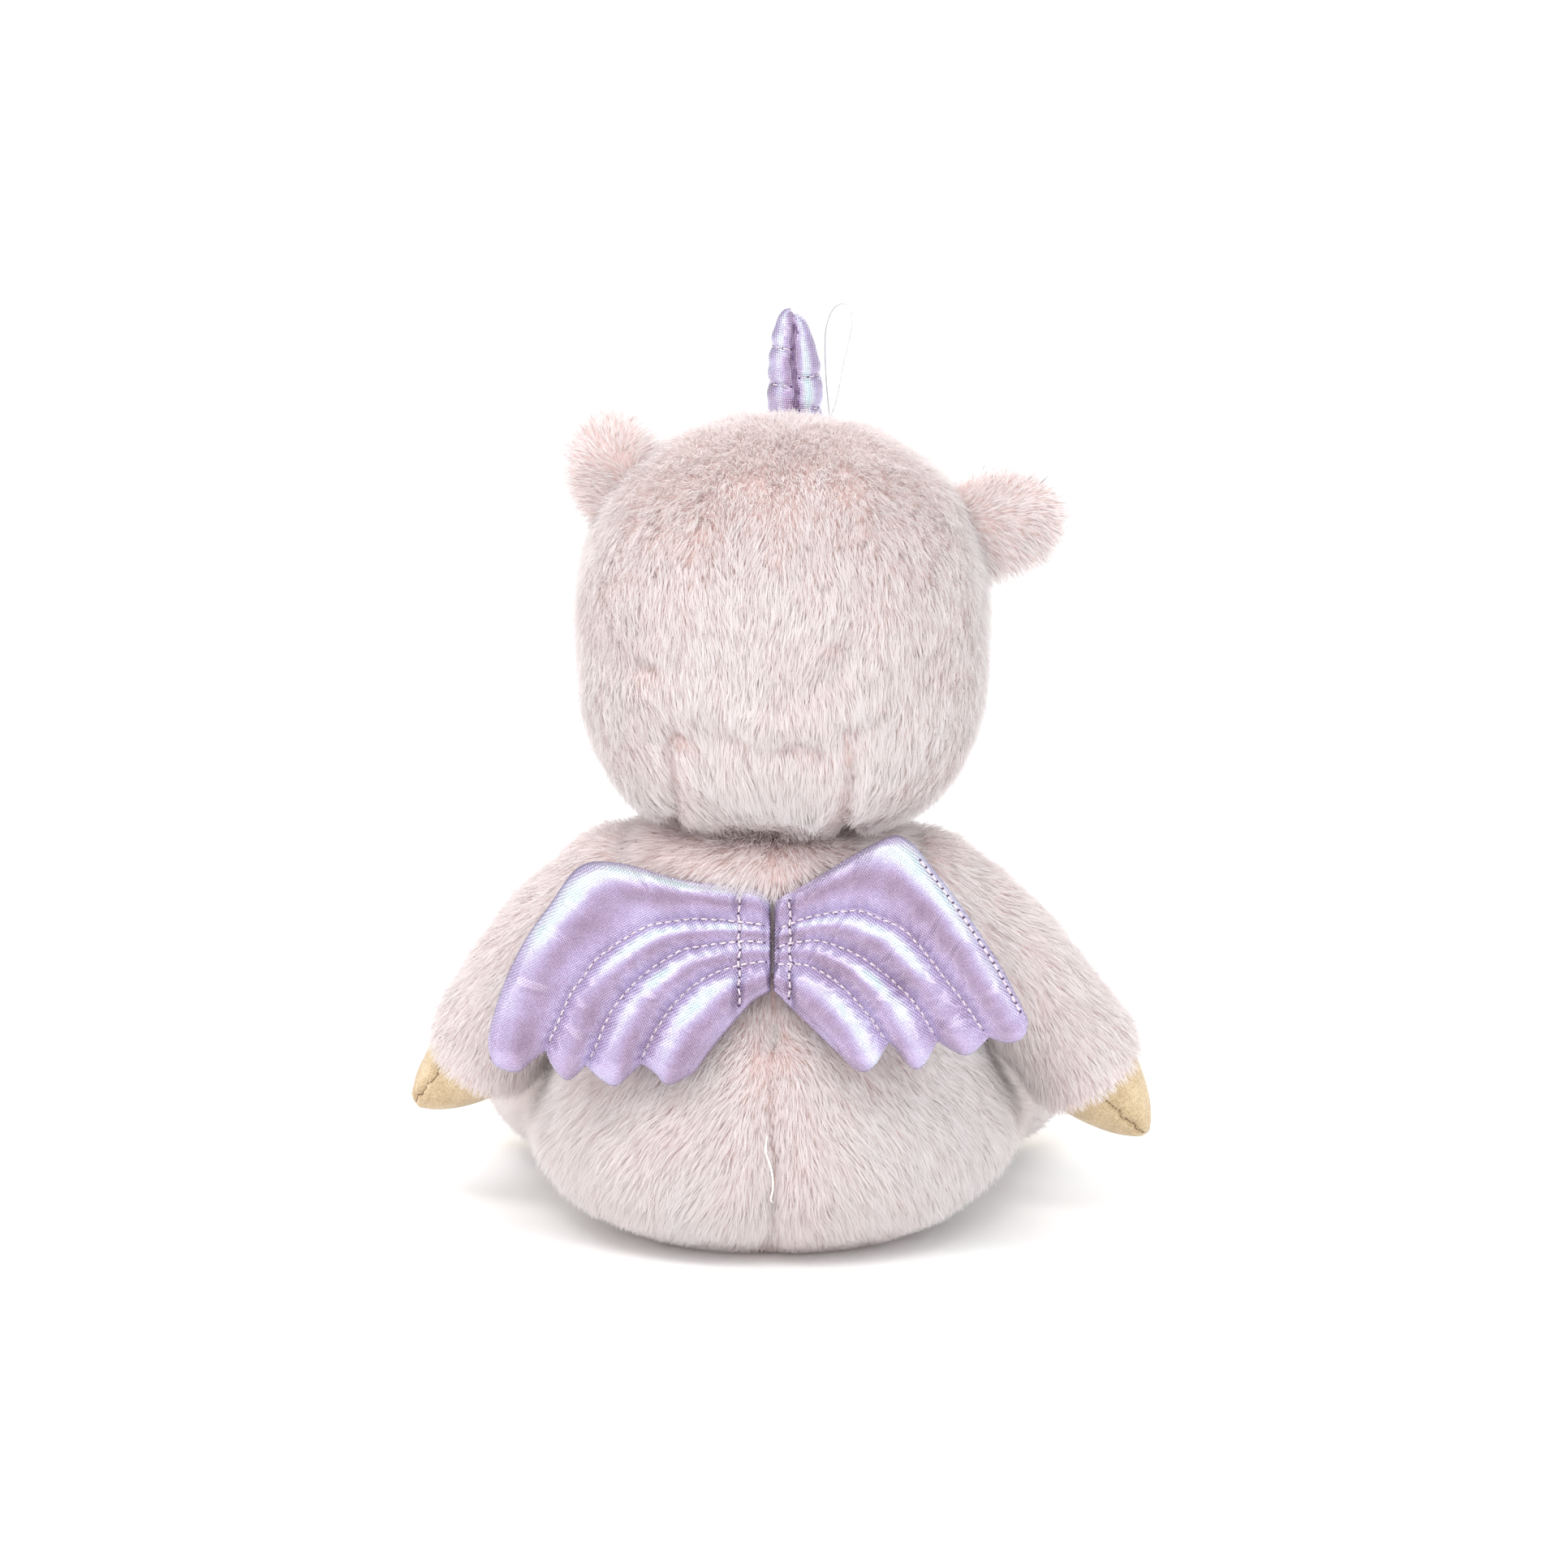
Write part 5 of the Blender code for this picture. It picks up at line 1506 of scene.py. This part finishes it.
def eye(side):
    """Moulded safety eye: a glossy dome with a thin rolled rim."""
    low, high = (np.array(corner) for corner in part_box("eye_" + side))
    centre = (low + high) / 2
    out = unit(np.array([centre[0] - HEAD_CENTRE[0], (centre[1] - HEAD_CENTRE[1]) * 1.2,
                         (centre[2] - HEAD_CENTRE[2]) * 0.6]))
    radius = (high[2] - low[2]) / 2
    base = centre + out * ((low[1] - centre[1]) / out[1] - 0.0034)
    line = [(-0.0012, 0.0), (-0.0012, radius * 0.90), (-0.0004, radius), (0.0003, radius * 0.99),
            (0.0005, radius * 0.93)]
    line += [(0.0005 + 0.0029 * math.sin(a), radius * 0.93 * math.cos(a))
             for a in np.linspace(0.05, math.pi / 2, 16)]
    first = unit(np.cross(out, (0.0, 0.0, 1.0)))
    second = np.cross(out, first)
    around = 48
    verts = []
    for height, reach in line:
        for k in range(around):
            a = math.tau * k / around
            ring_way = math.cos(a) * first + math.sin(a) * second
            verts.append(base + out * height + max(reach, 0.00001) * ring_way)
    dome = mesh_object("eye_dome_" + side, verts, grid_faces(len(line), around, True), EYE_GLOSS)
    outward(dome)
    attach(dome, "head")
    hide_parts("eye_" + side)


# ---- loop, threads and inner pieces -----------------------------------------------------

LOOP_D = 0.00044                  # diameter of the nylon line
LOOP_ROUTE = [(-0.0168, -0.0170, 0.2402), (-0.0185, -0.0172, 0.2448), (-0.0199, -0.0180, 0.2510),
              (-0.0210, -0.0190, 0.2570), (-0.0225, -0.0205, 0.2628), (-0.0234, -0.0222, 0.2684),
              (-0.0228, -0.0240, 0.2722), (-0.0208, -0.0262, 0.2734), (-0.0180, -0.0290, 0.2715),
              (-0.0160, -0.0320, 0.2660), (-0.0156, -0.0350, 0.2595), (-0.0158, -0.0376, 0.2530),
              (-0.0162, -0.0393, 0.2465), (-0.0168, -0.0402, 0.2400), (-0.0174, -0.0405, 0.2335),
              (-0.0178, -0.0400, 0.2272)]


def hanging_loop():
    """Nylon loop beside the horn: both ends are sewn into the head."""
    route = smooth_through(LOOP_ROUTE, 90)
    curve = bpy.data.curves.new("nylon_loop", "CURVE")
    curve.dimensions = "3D"
    curve.bevel_depth = LOOP_D / 2
    curve.bevel_resolution = 3
    spline = curve.splines.new("POLY")
    spline.points.add(len(route) - 1)
    for corner, place in zip(spline.points, route):
        corner.co = (*place, 1.0)
    loop = bpy.data.objects.new("nylon_loop", curve)
    bpy.context.scene.collection.objects.link(loop)
    curve.materials.append(NYLON)
    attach(loop, "head")
    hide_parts("hang_loop")


def sewing(torso_backing):
    """The pale thread left on the back seam and the thread that holds the wings."""
    heights = np.linspace(0.0415, 0.0185, 9)
    line = [(0.0010 * math.cos(i * 0.75) - 0.0012 * i / 8, 0.0, h) for i, h in enumerate(heights)]
    places, normals = drape(torso_backing, line, (0.0, -1.0, 0.0))
    out = unit(normals.mean(axis=0))
    route = smooth_through(places, 40)[::5] + out * 0.0068
    route[[0, -1]] -= out * 0.0045
    seam = twisted_thread("back_seam_ply", route, 0.00030, "torso", PALE_THREAD)
    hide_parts("back_seam_thread")
    low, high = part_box("wing_stitching")
    path = [(0.0, y, z) for y, z in zip(np.linspace(high.y, low.y, 8), np.linspace(low.z, high.z, 8))]
    hold = twisted_thread("wing_thread_ply", path, 0.0005, "torso", THREAD)
    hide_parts("wing_stitching")


def dress_inner_nodes():
    """Materials of the pieces inside the covers, which the frame already places."""
    fibre = fibre_material("polyester_fibre", (0.72, 0.72, 0.70), (0.92, 0.92, 0.90), 420.0, 0.001)
    pellets = fibre_material("pellet_cloth", (0.62, 0.58, 0.50), (0.80, 0.77, 0.68), 260.0, 0.0015)
    washer = gloss_material("washer_plastic", (0.70, 0.70, 0.68), (0.84, 0.84, 0.82), 0.35)
    kinds = {"fibre": fibre, "pellets": pellets, "washer_plastic": washer, "thread": THREAD,
             "pale_thread": PALE_THREAD, "fur": BACKING, "suede": SUEDE, "nylon": NYLON,
             "eye_plastic": EYE_GLOSS, "foil": FOIL_HORN}
    for part in frame["record"]["subparts"]:
        node = bpy.data.objects[part["node"]]
        node.data.materials.clear()
        node.data.materials.append(kinds[part["material_slot"]])


# ---- the toy ----------------------------------------------------------------------------

make_camera()
make_studio()
hanging_loop()
torso_backing = grow_torso()
head_backing = grow_head()
limb_seeds = {"arm_left": 310, "arm_right": 330, "leg_left": 350, "leg_right": 370}
for limb_name, limb_seed in limb_seeds.items():
    grow_limb(limb_name, limb_seed)
    hoof(limb_name, limb_seed + 7)
horn()
wing_left = wing("left")
wing_right = wing("right")
ear("left", 410)
ear("right", 430)
face()
sewing(torso_backing)
dress_inner_nodes()
